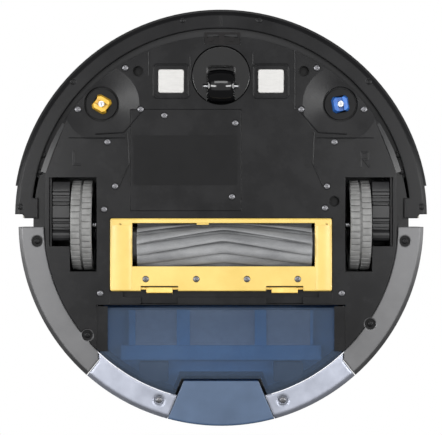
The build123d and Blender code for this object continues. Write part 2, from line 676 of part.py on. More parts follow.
with BuildPart() as tyre_right:
    with BuildSketch(Plane.YZ.offset(WHEEL_X - TYRE_W / 2)):
        with Locations((WHEEL_Y, WHEEL_R)):
            Circle(WHEEL_R)
            Circle(HUB_R, mode=Mode.SUBTRACT)
    extrude(amount=TYRE_W)
    chamfer(tyre_right.edges().filter_by(GeomType.CIRCLE).sort_by(SortBy.LENGTH)[-2:], 0.8)
    # groove round the middle of the tread
    with BuildSketch(Plane.YZ.offset(WHEEL_X - 0.65)):
        with Locations((WHEEL_Y, WHEEL_R)):
            Circle(WHEEL_R + 1)
            Circle(WHEEL_R - 2.4, mode=Mode.SUBTRACT)
    extrude(amount=1.3, mode=Mode.SUBTRACT)
tyre_right.part.label = "tyre_right"
export_step(tyre_right.part, "parts/tyre_right.step")

# the left wheel module mirrors the right one
LEFT_TWINS = {
    "wheel_housing_left": wheel_housing_right,
    "drive_gearbox_left": drive_gearbox_right,
    "drive_motor_left": drive_motor_right,
    "wheel_axle_left": wheel_axle_right,
    "wheel_hub_left": wheel_hub_right,
    "tyre_left": tyre_right,
}
for name, twin in LEFT_TWINS.items():
    with BuildPart() as left_piece:
        mirror(twin.part, about=Plane.YZ)
    left_piece.part.label = name
    export_step(left_piece.part, f"parts/{name}.step")

with BuildPart() as arm_pins:
    for start in (ARM_X + 1.1, -ARM_WELL[1]):
        with BuildSketch(Plane.YZ.offset(start)):
            with Locations((PIVOT_Y, PIVOT_Z)):
                Circle(PIN_R)
        extrude(amount=ARM_WELL[1] - ARM_X - 1.1)
arm_pins.part.label = "arm_pins"
export_step(arm_pins.part, "parts/arm_pins.step")

# torsion springs round the pivot pins, as plain sleeves
with BuildPart() as suspension_springs:
    for start in (ARM_X + 6.4, -ARM_X - 6.4 - 6.4):
        with BuildSketch(Plane.YZ.offset(start)):
            with Locations((PIVOT_Y, PIVOT_Z)):
                Circle(4.4)
                Circle(3.2, mode=Mode.SUBTRACT)
        extrude(amount=6.4)
suspension_springs.part.label = "suspension_springs"
export_step(suspension_springs.part, "parts/suspension_springs.step")

# ---------------------------------------------------------------- caster
CASTER_AXLE_Y = CASTER_Y - CASTER_TRAIL
CASTER_AXLE_R = 1.5
SNAP_FRONT = CASTER_AXLE_Y + CASTER_AXLE_R + RUNNING
SNAP_BACK = CASTER_AXLE_Y - CASTER_AXLE_R - RUNNING
SNAP_TOP = CASTER_R + CASTER_AXLE_R + RUNNING
YOKE_Z = 10.6
with BuildPart() as caster_yoke:
    with Locations((0, CASTER_Y, YOKE_Z)):
        Cylinder(CASTER_WELL_R - 0.7, 2.4, align=(Align.CENTER, Align.CENTER, Align.MIN))
        Cylinder(17.6, 20, align=(Align.CENTER, Align.CENTER, Align.MIN))
        Cylinder(STEM_R, 31.4, align=(Align.CENTER, Align.CENTER, Align.MIN))
    # pocket of the wheel and the slots that the axle snaps into
    with BuildSketch(Plane.XY.offset(YOKE_Z - 1)):
        with Locations((0, CASTER_AXLE_Y + 1)):
            RectangleRounded(CASTER_W + 1.2, 28.6, 3)
    extrude(amount=18.4, mode=Mode.SUBTRACT)
    with BuildSketch(Plane.YZ.offset(-13.2)):
        with BuildLine():
            Polyline((SNAP_BACK, CASTER_R), (SNAP_BACK, 8), (SNAP_FRONT, 8), (SNAP_FRONT, CASTER_R))
            ThreePointArc((SNAP_FRONT, CASTER_R), (CASTER_AXLE_Y, SNAP_TOP), (SNAP_BACK, CASTER_R))
        make_face()
    extrude(amount=26.4, mode=Mode.SUBTRACT)
caster_yoke.part.label = "caster_yoke"
export_step(caster_yoke.part, "parts/caster_yoke.step")

with BuildPart() as caster_wheel:
    with BuildSketch(Plane.YZ.offset(-CASTER_W / 2)):
        with Locations((CASTER_AXLE_Y, CASTER_R)):
            Circle(CASTER_R)
    extrude(amount=CASTER_W)
    fillet(caster_wheel.edges().filter_by(GeomType.CIRCLE), 3)
    with BuildSketch(Plane.YZ.offset(-CASTER_W / 2)):
        with Locations((CASTER_AXLE_Y, CASTER_R)):
            Circle(CASTER_AXLE_R + 0.02)
    extrude(amount=CASTER_W, mode=Mode.SUBTRACT)
caster_wheel.part.label = "caster_wheel"
export_step(caster_wheel.part, "parts/caster_wheel.step")

with BuildPart() as caster_axle:
    with BuildSketch(Plane.YZ.offset(-12.9)):
        with Locations((CASTER_AXLE_Y, CASTER_R)):
            Circle(CASTER_AXLE_R)
    extrude(amount=25.8)
caster_axle.part.label = "caster_axle"
export_step(caster_axle.part, "parts/caster_axle.step")

# ---------------------------------------------------------------- side brush drives
HUB_Z = 7.2
HUB_TOP = 14.6
HUB_SIZE = 12.4
SLOT_W = 4.9
HUBS = {"yellow": (HUB_X, 30.0), "blue": (-HUB_X, 80.0)}
for colour, (hub_x, slot_turn) in HUBS.items():
    with BuildPart() as brush_hub:
        with BuildSketch(Plane.XY.offset(HUB_Z)):
            with Locations(Location((hub_x, HUB_Y), slot_turn)):
                Rectangle(HUB_SIZE, HUB_SIZE)
            with Locations((hub_x, HUB_Y)):
                Circle(7.4, mode=Mode.INTERSECT)
        extrude(amount=HUB_TOP - HUB_Z)
        with BuildSketch(Plane.XY.offset(HUB_TOP - 2)):
            with Locations((hub_x, HUB_Y)):
                Circle(11.5)
        extrude(amount=2)
        with BuildSketch(Plane.XY.offset(HUB_Z)):
            with Locations(Location((hub_x, HUB_Y), slot_turn)):
                Rectangle(HUB_SIZE + 4, SLOT_W)
        extrude(amount=3.4, mode=Mode.SUBTRACT)
        with BuildSketch(Plane.XY.offset(HUB_Z)):
            with Locations((hub_x, HUB_Y)):
                Circle(HUB_SHAFT_R + 0.02)
        extrude(amount=10, mode=Mode.SUBTRACT)
    brush_hub.part.label = f"side_brush_hub_{colour}"
    export_step(brush_hub.part, f"parts/side_brush_hub_{colour}.step")

    with BuildPart() as brush_shaft:
        with BuildSketch(Plane.XY.offset(HUB_Z - 0.4)):
            with Locations((hub_x, HUB_Y)):
                Circle(HUB_SHAFT_R)
        extrude(amount=24)
        # centre dimple in the end
        with Locations((hub_x, HUB_Y, HUB_Z - 0.4)):
            Cone(1.0, 0.2, 1.6, mode=Mode.SUBTRACT)
    brush_shaft.part.label = f"side_brush_shaft_{colour}"
    export_step(brush_shaft.part, f"parts/side_brush_shaft_{colour}.step")

with BuildPart() as side_brush_gearboxes:
    for side in (1, -1):
        with BuildSketch(Plane.XY.offset(RIM_TOP + 0.2)):
            with Locations((side * (HUB_X - 5.5), HUB_Y - 6)):
                RectangleRounded(26, 28, 6)
        extrude(amount=20)
        with BuildSketch(Plane.XY.offset(RIM_TOP)):
            with Locations((side * HUB_X, HUB_Y)):
                Circle(HUB_SHAFT_R + RUNNING)
        extrude(amount=15, mode=Mode.SUBTRACT)
side_brush_gearboxes.part.label = "side_brush_gearboxes"
export_step(side_brush_gearboxes.part, "parts/side_brush_gearboxes.step")

# ---------------------------------------------------------------- brush module
FLANGE_Z = 12.1
CHAMBER = (-72.0, 66.4)
THROAT_HALF = 57.0
MOTOR_Y, MOTOR_Z = BRUSH_MOTOR_AT

with BuildPart() as brush_housing:
    with BuildSketch(Plane.XY.offset(FLANGE_Z)):
        span(-87, 87, 2.6, -63.6)
    extrude(amount=2)
    with BuildSketch(Plane.XY.offset(FLANGE_Z + 1)):
        span(CHAMBER[0] - 2.2, CHAMBER[1] + 2.2, 0.9, -41.4)
    extrude(amount=ROLLER_Z + CHAMBER_R + 2 - FLANGE_Z - 1)
    # air duct to the dust bin
    with BuildSketch(Plane.XY.offset(FLANGE_Z + 1)):
        span(-THROAT_HALF - 1.8, THROAT_HALF + 1.8, -40, -63.6)
    extrude(amount=25)
    with BuildSketch(Plane.YZ.offset(CHAMBER[0])):
        with Locations((ROLLER_Y, ROLLER_Z)):
            Circle(CHAMBER_R)
        with Locations((ROLLER_Y, 10)):
            Rectangle(2 * CHAMBER_R, 2 * (ROLLER_Z - 10))
    extrude(amount=CHAMBER[1] - CHAMBER[0], mode=Mode.SUBTRACT)
    with BuildSketch(Plane.XZ.offset(36)):
        with Locations((0, 26)):
            Rectangle(2 * THROAT_HALF, 20)
    extrude(amount=40, mode=Mode.SUBTRACT)
    with BuildSketch(Plane.YZ.offset(CHAMBER[0] - 4)):
        with Locations((ROLLER_Y, ROLLER_Z)):
            Circle(SHAFT_R + 0.5)
    extrude(amount=160, mode=Mode.SUBTRACT)
brush_housing.part.label = "brush_housing"
export_step(brush_housing.part, "parts/brush_housing.step")

with BuildPart() as roller_bearings:
    for start, width in ((62.9, 3.4), (CHAMBER[0] + 0.1, 3.6)):
        with BuildSketch(Plane.YZ.offset(start)):
            with Locations((ROLLER_Y, ROLLER_Z)):
                RectangleRounded(26, 19, 6)
                Circle(SHAFT_R + RUNNING, mode=Mode.SUBTRACT)
        extrude(amount=width)
roller_bearings.part.label = "roller_bearings"
export_step(roller_bearings.part, "parts/roller_bearings.step")

with BuildPart() as roller_shaft:
    with BuildSketch(Plane.YZ.offset(-73.6)):
        with Locations((ROLLER_Y, ROLLER_Z)):
            Circle(SHAFT_R)
    extrude(amount=BELT_X + BELT_W + 74.6)
roller_shaft.part.label = "roller_shaft"
export_step(roller_shaft.part, "parts/roller_shaft.step")

with BuildPart() as roller_vanes:
    with BuildSketch(Plane.YZ.offset(ROLLER_LEFT)):
        with Locations((ROLLER_Y, ROLLER_Z)):
            Circle(ROLLER_R)
            Circle(SHAFT_R + 0.02, mode=Mode.SUBTRACT)
    extrude(amount=ROLLER_RIGHT - ROLLER_LEFT)
roller_vanes.part.label = "roller_vanes"
export_step(roller_vanes.part, "parts/roller_vanes.step")

with BuildPart() as roller_pulley:
    with BuildSketch(Plane.YZ.offset(BELT_X)):
        with Locations((ROLLER_Y, ROLLER_Z)):
            Circle(ROLLER_PULLEY_R)
            Circle(SHAFT_R + 0.02, mode=Mode.SUBTRACT)
    extrude(amount=BELT_W)
roller_pulley.part.label = "roller_pulley"
export_step(roller_pulley.part, "parts/roller_pulley.step")

with BuildPart() as motor_pulley:
    with BuildSketch(Plane.YZ.offset(BELT_X)):
        with Locations((MOTOR_Y, MOTOR_Z)):
            Circle(MOTOR_PULLEY_R)
    extrude(amount=BELT_W)
    with BuildSketch(Plane.YZ.offset(BELT_X - 3)):
        with Locations((MOTOR_Y, MOTOR_Z)):
            Circle(1.5)
    extrude(amount=3)
motor_pulley.part.label = "motor_pulley"
export_step(motor_pulley.part, "parts/motor_pulley.step")

with BuildPart() as brush_motor:
    with BuildSketch(Plane.YZ.offset(26)):
        with Locations((MOTOR_Y, MOTOR_Z)):
            Circle(11.3)
            Rectangle(30, 17, mode=Mode.INTERSECT)
    extrude(amount=BELT_X - 26.8)
    with BuildSketch(Plane.YZ.offset(60)):
        with Locations((MOTOR_Y, MOTOR_Z)):
            Circle(1.5 + RUNNING)
    extrude(amount=20, mode=Mode.SUBTRACT)
brush_motor.part.label = "brush_motor"
export_step(brush_motor.part, "parts/brush_motor.step")


def belt_outline(reach):
    """The loop round both pulleys, a little outside their rims."""
    with BuildSketch(Plane.YZ.offset(BELT_X + 0.2)) as loop:
        with Locations((ROLLER_Y, ROLLER_Z)):
            Circle(ROLLER_PULLEY_R + reach)
        with Locations((MOTOR_Y, MOTOR_Z)):
            Circle(MOTOR_PULLEY_R + reach)
        make_hull()
    return loop.sketch


with BuildPart() as drive_belt:
    extrude(belt_outline(0.1 + BELT_T), amount=BELT_W - 0.4)
    extrude(belt_outline(0.1), amount=BELT_W - 0.4, mode=Mode.SUBTRACT)
drive_belt.part.label = "drive_belt"
export_step(drive_belt.part, "parts/drive_belt.step")

# ---------------------------------------------------------------- brush cover and its latches
WINDOW = (-69.5, 65.7, -36.2, -4.1)
COVER_SCREWS = [(55.7, -45.6), (18.3, -45.6), (-19.2, -45.6), (-56.8, -45.6)]
LATCH_W = 19.4
LATCH_PIN_Y = -52.6
LATCH_PIN_Z = 9.4

with BuildPart() as brush_cover:
    with BuildSketch(Plane.XY.offset(COVER_Z)):
        with Locations((0, (COVER_FRONT + COVER_BACK) / 2)):
            RectangleRounded(2 * COVER_HALF, COVER_FRONT - COVER_BACK, 1.6)
    extrude(amount=COVER_T)
    bottom_rim = brush_cover.faces().sort_by(Axis.Z)[0].edges()
    fillet(bottom_rim, 0.9)
    with BuildSketch(Plane.YZ.offset(-COVER_HALF)):
        bead = (COVER_FRONT - COVER_BEAD_R, COVER_Z + COVER_BEAD_R)
        span(bead[0], COVER_FRONT + 1, COVER_Z - 1, bead[1])
        with Locations(bead):
            Circle(COVER_BEAD_R, mode=Mode.SUBTRACT)
    extrude(amount=2 * COVER_HALF, mode=Mode.SUBTRACT)
    with BuildSketch(Plane.XY.offset(COVER_Z)):
        span(*WINDOW)
    extrude(amount=COVER_T, mode=Mode.SUBTRACT)
    # raised step round the window and on the side panels
    with BuildSketch(Plane.XY.offset(COVER_Z + 1.3)):
        span(WINDOW[0] - 8, WINDOW[0] - 9.5, COVER_FRONT - 4, COVER_BACK + 4)
        span(WINDOW[1] + 8, WINDOW[1] + 9.5, COVER_FRONT - 4, COVER_BACK + 4)
    extrude(amount=-1.5, mode=Mode.SUBTRACT)
    # bays of the two latches
    with BuildSketch(Plane.XY.offset(COVER_Z - 1)):
        for low, high in LATCH_BAYS:
            span(low, high, -50.7, -60)
    extrude(amount=COVER_T + 2, mode=Mode.SUBTRACT)
    # sockets of the latch pins
    for low, high in LATCH_BAYS:
        with BuildSketch(Plane.YZ.offset(low - 2)):
            with Locations((LATCH_PIN_Y, LATCH_PIN_Z)):
                Circle(0.9 + RUNNING)
        extrude(amount=high - low + 4, mode=Mode.SUBTRACT)
    with BuildSketch(Plane.XY.offset(COVER_Z)):
        with Locations(*COVER_SCREWS):
            Circle(SCREW_R + 0.1)
    extrude(amount=1, mode=Mode.SUBTRACT)
    with BuildSketch(Plane.XY.offset(COVER_Z)):
        with Locations(*COVER_SCREWS):
            Circle(SHANK_R + RUNNING)
    extrude(amount=COVER_T, mode=Mode.SUBTRACT)
    # hook nub at the middle of the front edge
    with BuildSketch(Plane.XY.offset(COVER_Z + 0.6)):
        span(9, 18, COVER_FRONT - 1, COVER_FRONT - 4.8)
    extrude(amount=COVER_T - 0.8)
brush_cover.part.label = "brush_cover"
export_step(brush_cover.part, "parts/brush_cover.step")

with BuildPart() as cover_screws:
    add(pan_screws(COVER_SCREWS, COVER_Z - 0.4, SCREW_R, COVER_Z + COVER_T))
cover_screws.part.label = "cover_screws"
export_step(cover_screws.part, "parts/cover_screws.step")

for side_name, (low, high) in zip(("right", "left"), LATCH_BAYS):
    middle = (low + high) / 2
    with BuildPart() as cover_latch:
        with BuildSketch(Plane.YZ.offset(middle - LATCH_W / 2)):
            with Locations((LATCH_PIN_Y - 1.2, LATCH_PIN_Z)):
                RectangleRounded(4.2, 3.2, 0.8)
        extrude(amount=LATCH_W)
        with BuildSketch(Plane.YZ.offset(low - 1.6)):
            with Locations((LATCH_PIN_Y, LATCH_PIN_Z)):
                Circle(0.9)
        extrude(amount=high - low + 3.2)
    cover_latch.part.label = f"cover_latch_{side_name}"
    export_step(cover_latch.part, f"parts/cover_latch_{side_name}.step")

# ---------------------------------------------------------------- battery, contacts, sensor, electronics
with BuildPart() as battery_door:
    with BuildSketch(Plane.XY.offset(BASE_Z)):
        with Locations(((DOOR_X[0] + DOOR_X[1]) / 2, (DOOR_Y[0] + DOOR_Y[1]) / 2)):
            RectangleRounded(DOOR_X[1] - DOOR_X[0] - 0.2, DOOR_Y[1] - DOOR_Y[0] - 0.2, 1)
    extrude(amount=DOOR_T)
    with BuildSketch(Plane.XY.offset(BASE_Z)):
        with Locations(*DOOR_SCREWS):
            Circle(SCREW_R + 0.25)
    extrude(amount=0.9, mode=Mode.SUBTRACT)
    with BuildSketch(Plane.XY.offset(BASE_Z)):
        with Locations(*DOOR_SCREWS, (59.5, 80.1)):
            Circle(SHANK_R + RUNNING)
    extrude(amount=FLOOR, mode=Mode.SUBTRACT)
    with BuildSketch(Plane.XY.offset(BASE_Z)):
        with Locations((59.5, 80.1)):
            Circle(SCREW_R + 0.25)
    extrude(amount=0.9, mode=Mode.SUBTRACT)
battery_door.part.label = "battery_door"
export_step(battery_door.part, "parts/battery_door.step")

with BuildPart() as battery_pack:
    with BuildSketch(Plane.XZ.offset(-DOOR_Y[1] + 2)):
        for cell in range(4):
            with Locations((DOOR_X[0] + 11.3 + cell * 18.9, 23.2)):
                Circle(9.5)
        with Locations(((DOOR_X[0] + DOOR_X[1]) / 2, 23.2)):
            Rectangle(66, 14)
    extrude(amount=DOOR_Y[1] - DOOR_Y[0] - 4)
battery_pack.part.label = "battery_pack"
export_step(battery_pack.part, "parts/battery_pack.step")

with BuildPart() as charging_contacts:
    with BuildSketch(Plane.XY.offset(BASE_Z - 0.2)):
        with Locations((CONTACT_X, CONTACT_Y), (-CONTACT_X, CONTACT_Y)):
            RectangleRounded(CONTACT_SIZE[0], CONTACT_SIZE[1], 1.7)
    extrude(amount=3.6)
    chamfer(charging_contacts.faces().group_by(Axis.Z)[0].edges(), 0.4)
charging_contacts.part.label = "charging_contacts"
export_step(charging_contacts.part, "parts/charging_contacts.step")

SENSOR_Z = 14.2
with BuildPart() as cliff_sensor:
    with BuildSketch(Plane.XY.offset(SENSOR_Z)):
        span(*SENSOR_X, *SENSOR_Y)
    extrude(amount=4.6)
    with BuildSketch(Plane.XY.offset(SENSOR_Z)):
        span(SENSOR_X[0] + 1.5, -2.6, SENSOR_Y[0] + 1.4, SENSOR_Y[1] - 1.4)
        span(1.4, SENSOR_X[1] - 1.5, SENSOR_Y[0] + 1.4, SENSOR_Y[1] - 1.4)
    extrude(amount=3, mode=Mode.SUBTRACT)
    with BuildSketch(Plane.XY.offset(SENSOR_Z + 1)):
        with Locations((7.6, 133), (-8, 133)):
            Circle(2.2)
    extrude(amount=2.2)
cliff_sensor.part.label = "cliff_sensor"
export_step(cliff_sensor.part, "parts/cliff_sensor.step")

with BuildPart() as main_board:
    with BuildSketch(Plane.XY.offset(BOARD_Z)):
        span(-79, 79, 6, 63)
    extrude(amount=1.6)
    with BuildSketch(Plane.XY.offset(BOARD_Z + 1.5)):
        with Locations((-20, 36)):
            Rectangle(14, 14)
        with Locations((30, 46), (30, 24)):
            Rectangle(9, 7)
        with Locations((64, 34), (-62, 34)):
            Rectangle(8, 22)
    extrude(amount=3)
main_board.part.label = "main_board"
export_step(main_board.part, "parts/main_board.step")

with BuildPart() as charge_socket:
    with BuildSketch(Plane.YZ.offset(BODY_R - 2)):
        with Locations((SOCKET_Y, SOCKET_Z)):
            Circle(SOCKET_R)
    extrude(amount=10.2)
    with BuildSketch(Plane.XY.offset(SOCKET_Z - 10)):
        with Locations(BODY_CENTRE):
            Circle(BODY_R + 0.1)
    extrude(amount=20, mode=Mode.SUBTRACT)
    with BuildSketch(Plane.YZ.offset(BODY_R - 2 + 10.2)):
        with Locations((SOCKET_Y, SOCKET_Z)):
            Circle(SOCKET_BORE_R)
    extrude(amount=-7, mode=Mode.SUBTRACT)
charge_socket.part.label = "charge_socket"
export_step(charge_socket.part, "parts/charge_socket.step")

# ---------------------------------------------------------------- fan
FAN_AT = (-36.0, -32.0)
FAN_Z = 44.2
FAN_R = 27.0
with BuildPart() as fan_housing:
    with BuildSketch(Plane.XY.offset(FAN_Z)):
        with Locations(FAN_AT):
            Circle(FAN_R)
        with Locations((FAN_AT[0] - 20, FAN_AT[1] + 16)):
            Rectangle(30, 20)
    extrude(amount=20)
    with BuildSketch(Plane.XY.offset(FAN_Z + 1.5)):
        with Locations(FAN_AT):
            Circle(FAN_R - 1.5)
    extrude(amount=17, mode=Mode.SUBTRACT)
    with BuildSketch(Plane.XY.offset(FAN_Z + 1.5)):
        with Locations((FAN_AT[0] - 22, FAN_AT[1] + 16)):
            Rectangle(40, 16)
    extrude(amount=17, mode=Mode.SUBTRACT)
    with BuildSketch(Plane.XY.offset(FAN_Z + 15)):
        with Locations(FAN_AT):
            Circle(13)
    extrude(amount=10, mode=Mode.SUBTRACT)
fan_housing.part.label = "fan_housing"
export_step(fan_housing.part, "parts/fan_housing.step")

with BuildPart() as fan_impeller:
    with BuildSketch(Plane.XY.offset(FAN_Z + 2.2)):
        with Locations(FAN_AT):
            Circle(FAN_R - 3.5)
    extrude(amount=1.4)
    with BuildSketch(Plane.XY.offset(FAN_Z + 3.4)):
        with Locations(FAN_AT):
            Circle(6)
    extrude(amount=9)
    with BuildSketch(Plane.XY.offset(FAN_Z + 3.4)):
        with Locations(FAN_AT):
            with PolarLocations(14.5, 9):
                Rectangle(17.6, 1.3, rotation=28)
    extrude(amount=11)
fan_impeller.part.label = "fan_impeller"
export_step(fan_impeller.part, "parts/fan_impeller.step")

# ---------------------------------------------------------------- dust bin
TUB_R = 131.2
TRIM_IN_R = 131.6
RECESS_GAP = 1.8


def tub_outline(inset):
    """The clear tub from above: straight sides, round back, cut away round the release button."""
    with BuildSketch() as outline:
        with Locations(BODY_CENTRE):
            Circle(TUB_R - inset)
        with Locations((0, BIN_FRONT - inset - 100)):
            Rectangle(2 * (BIN_HALF - 0.3 - inset), 200, mode=Mode.INTERSECT)
        add(release_outline(RECESS_GAP + inset), mode=Mode.SUBTRACT)
    return outline.sketch


with BuildPart() as bin_tub:
    with BuildSketch(Plane.XY.offset(BIN_Z)):
        add(tub_outline(0))
    extrude(amount=BIN_LID_Z - BIN_Z)
    with BuildSketch(Plane.XY.offset(BIN_Z + BIN_WALL)):
        add(tub_outline(BIN_WALL))
    extrude(amount=60, mode=Mode.SUBTRACT)
    # dirt mouth in the front wall
    with BuildSketch(Plane.XZ.offset(-BIN_FRONT - 4)):
        with Locations((0, 26)):
            Rectangle(2 * THROAT_HALF, 20)
    extrude(amount=8, mode=Mode.SUBTRACT)
    # ledge over the rear trim, with the bosses of its two screws
    with BuildSketch(Plane.XY.offset(BIN_Z + SHELL_LIP + 0.1)):
        with Locations(*BIN_SCREWS):
            Rectangle(22, 40)
        with Locations(BODY_CENTRE):
            Circle(SKIRT_R - 5, mode=Mode.INTERSECT)
            Circle(TUB_R - 1, mode=Mode.SUBTRACT)
        add(release_outline(RECESS_GAP), mode=Mode.SUBTRACT)
    extrude(amount=8)
    with BuildSketch(Plane.XY.offset(BIN_Z + SHELL_LIP + 0.1)):
        with Locations(*BIN_SCREWS):
            Circle(SHANK_R + RUNNING)
    extrude(amount=6, mode=Mode.SUBTRACT)
bin_tub.part.label = "bin_tub"
export_step(bin_tub.part, "parts/bin_tub.step")

with BuildPart() as bin_lid:
    with BuildSketch(Plane.XY.offset(BIN_LID_Z + 0.05)):
        add(tub_outline(0))
    extrude(amount=2)
    with BuildSketch(Plane.XY.offset(BIN_LID_Z)):
        with GridLocations(44, 1, 3, 1):
            with Locations((0, -83)):
                Rectangle(32, 16)
    extrude(amount=4, mode=Mode.SUBTRACT)
bin_lid.part.label = "bin_lid"
export_step(bin_lid.part, "parts/bin_lid.step")

with BuildPart() as dust_filter:
    with BuildSketch(Plane.XY.offset(BIN_LID_Z - 9)):
        span(-70, 70, -70, -97)
    extrude(amount=8.9)
    with BuildSketch(Plane.XY.offset(BIN_LID_Z - 9)):
        span(33.6, 65, -72, -95)
        span(-25.6, 23.6, -72, -95)
        span(-34.5, -67.8, -72, -95)
    extrude(amount=1.5, mode=Mode.SUBTRACT)
dust_filter.part.label = "dust_filter"
export_step(dust_filter.part, "parts/dust_filter.step")

BUTTON_WALL_TOP = 30.0
with BuildPart() as bin_trim:
    add(shell_ring(BODY_CENTRE[1], SKIRT_R, TRIM_IN_R, BODY_R + 0.4, BIN_Z))
    with BuildSketch(Plane.XY):
        add(bin_sector(0.6))
    extrude(amount=100, mode=Mode.INTERSECT)
    # room for the release button and its travel
    with BuildSketch(Plane.XY.offset(BIN_Z - 1)):
        add(release_outline(0.4))
    extrude(amount=BUTTON_WALL_TOP + 4.5 - BIN_Z, mode=Mode.SUBTRACT)
    # clear of the screw bosses of the tub
    with BuildSketch(Plane.XY.offset(BIN_Z)):
        with Locations(*BIN_SCREWS):
            Circle(3.8)
    extrude(amount=1.2, mode=Mode.SUBTRACT)
    with BuildSketch(Plane.XY.offset(BIN_Z)):
        with Locations(*BIN_SCREWS):
            Circle(SHANK_R + RUNNING)
    extrude(amount=4, mode=Mode.SUBTRACT)
bin_trim.part.label = "bin_trim"
export_step(bin_trim.part, "parts/bin_trim.step")

with BuildPart() as bin_screws:
    add(pan_screws(BIN_SCREWS, BIN_Z - 0.3, 3.2, BIN_Z + 7))
bin_screws.part.label = "bin_screws"
export_step(bin_screws.part, "parts/bin_screws.step")

with BuildPart() as release_button:
    with BuildSketch(Plane.XY.offset(BIN_Z)):
        with Locations(BODY_CENTRE):
            Circle(SKIRT_R - 0.2)
        add(release_outline(0), mode=Mode.INTERSECT)
    extrude(amount=BUTTON_WALL_TOP - BIN_Z)
    with BuildSketch(Plane.XY.offset(BIN_Z + 2)):
        with Locations(BODY_CENTRE):
            Circle(SKIRT_R - 2.4)
        add(release_outline(-2), mode=Mode.INTERSECT)
    extrude(amount=40, mode=Mode.SUBTRACT)
    fillet(release_button.faces().sort_by(Axis.Z)[0].edges().sort_by(Axis.Y)[:1], 1.5)
release_button.part.label = "release_button"
export_step(release_button.part, "parts/release_button.step")
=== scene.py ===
import json
import math

import bmesh
import bpy
from mathutils import Matrix, Vector


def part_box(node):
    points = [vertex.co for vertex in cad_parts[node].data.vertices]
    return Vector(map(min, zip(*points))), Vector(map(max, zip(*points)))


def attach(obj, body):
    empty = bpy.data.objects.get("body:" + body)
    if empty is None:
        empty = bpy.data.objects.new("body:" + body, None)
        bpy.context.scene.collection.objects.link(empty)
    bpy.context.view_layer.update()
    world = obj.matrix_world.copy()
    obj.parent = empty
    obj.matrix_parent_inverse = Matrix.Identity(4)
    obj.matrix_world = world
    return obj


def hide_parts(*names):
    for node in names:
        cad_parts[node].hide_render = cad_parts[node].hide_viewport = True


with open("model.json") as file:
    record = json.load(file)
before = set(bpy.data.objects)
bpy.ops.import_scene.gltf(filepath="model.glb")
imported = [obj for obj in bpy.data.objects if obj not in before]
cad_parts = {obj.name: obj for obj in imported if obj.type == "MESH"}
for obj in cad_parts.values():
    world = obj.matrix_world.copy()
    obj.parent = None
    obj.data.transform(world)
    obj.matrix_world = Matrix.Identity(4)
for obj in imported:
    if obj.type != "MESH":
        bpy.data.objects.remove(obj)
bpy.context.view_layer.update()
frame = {"nodes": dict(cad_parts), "record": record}
nodes = frame["nodes"]
MM = 0.001

# Robot vacuum, wheels down, front to +Y, seen from straight below.
# Pieces are sized in millimetres until MM is applied; the camera and the lights are in metres.

# ---------------------------------------------------------------- camera, lights and floor
CAMERA_DISTANCE = 1.5
LENS = 166.0

scene = bpy.context.scene
scene.view_settings.view_transform = "Standard"
scene.view_settings.look = "None"

camera = bpy.data.objects.new("camera", bpy.data.cameras.new("camera"))
camera.data.lens = LENS
camera.data.sensor_width = 36.0
camera.data.clip_start = 0.05
camera.location = (0, 0, -CAMERA_DISTANCE)
camera.rotation_euler = (0, math.pi, 0)
scene.collection.objects.link(camera)
scene.camera = camera


def linear(colour):
    """An sRGB hex colour as the linear RGBA that sockets take."""
    parts = [int(colour[at:at + 2], 16) / 255 for at in (0, 2, 4)]
    return (*[c / 12.92 if c <= 0.04045 else ((c + 0.055) / 1.055) ** 2.4 for c in parts], 1.0)


def add_node(tree, kind, settings=None, links=None):
    """Adds a node, sets its fields and sockets, and links outputs to its sockets."""
    node = tree.nodes.new(kind)
    for name, value in (settings or {}).items():
        if isinstance(name, int) or name in node.inputs:
            node.inputs[name].default_value = value
        else:
            setattr(node, name, value)
    for name, source in (links or {}).items():
        tree.links.new(source, node.inputs[name])
    return node


def softbox(name, place, size, watts, aim=(0, 0, 0.02)):
    """A rectangular studio light that points at the object."""
    lamp = bpy.data.lights.new(name, "AREA")
    lamp.shape = "RECTANGLE"
    lamp.size, lamp.size_y = size
    lamp.energy = watts
    light = bpy.data.objects.new(name, lamp)
    light.location = place
    light.rotation_euler = (Vector(aim) - Vector(place)).to_track_quat("-Z", "Y").to_euler()
    light.visible_camera = False
    scene.collection.objects.link(light)


softbox("side_light_left", (-1.15, 0.12, -0.42), (0.5, 1.1), 14)
softbox("side_light_right", (1.15, 0.12, -0.42), (0.5, 1.1), 14)
softbox("edge_light_left", (-0.58, 0.1, -1.3), (0.24, 0.6), 7)
softbox("edge_light_right", (0.58, 0.1, -1.3), (0.24, 0.6), 7)
softbox("front_light", (0, 0.8, -1.4), (0.9, 0.4), 5)
softbox("wide_panel", (0, 0.1, -1.8), (2.4, 2.2), 10)
softbox("top_light", (0.5, -0.6, 1.5), (1.4, 1.4), 22)

world = bpy.data.worlds.new("studio")
world.use_nodes = True
world.node_tree.nodes.clear()
seen = add_node(world.node_tree, "ShaderNodeBackground", {"Color": (1, 1, 1, 1), "Strength": 1.0})
ambient = add_node(world.node_tree, "ShaderNodeBackground", {"Color": (1, 1, 1, 1), "Strength": 0.12})
ray = add_node(world.node_tree, "ShaderNodeLightPath")
backdrop = add_node(
    world.node_tree, "ShaderNodeMixShader", {},
    {0: ray.outputs["Is Camera Ray"], 1: ambient.outputs[0], 2: seen.outputs[0]},
)
add_node(world.node_tree, "ShaderNodeOutputWorld", {}, {0: backdrop.outputs[0]})
scene.world = world

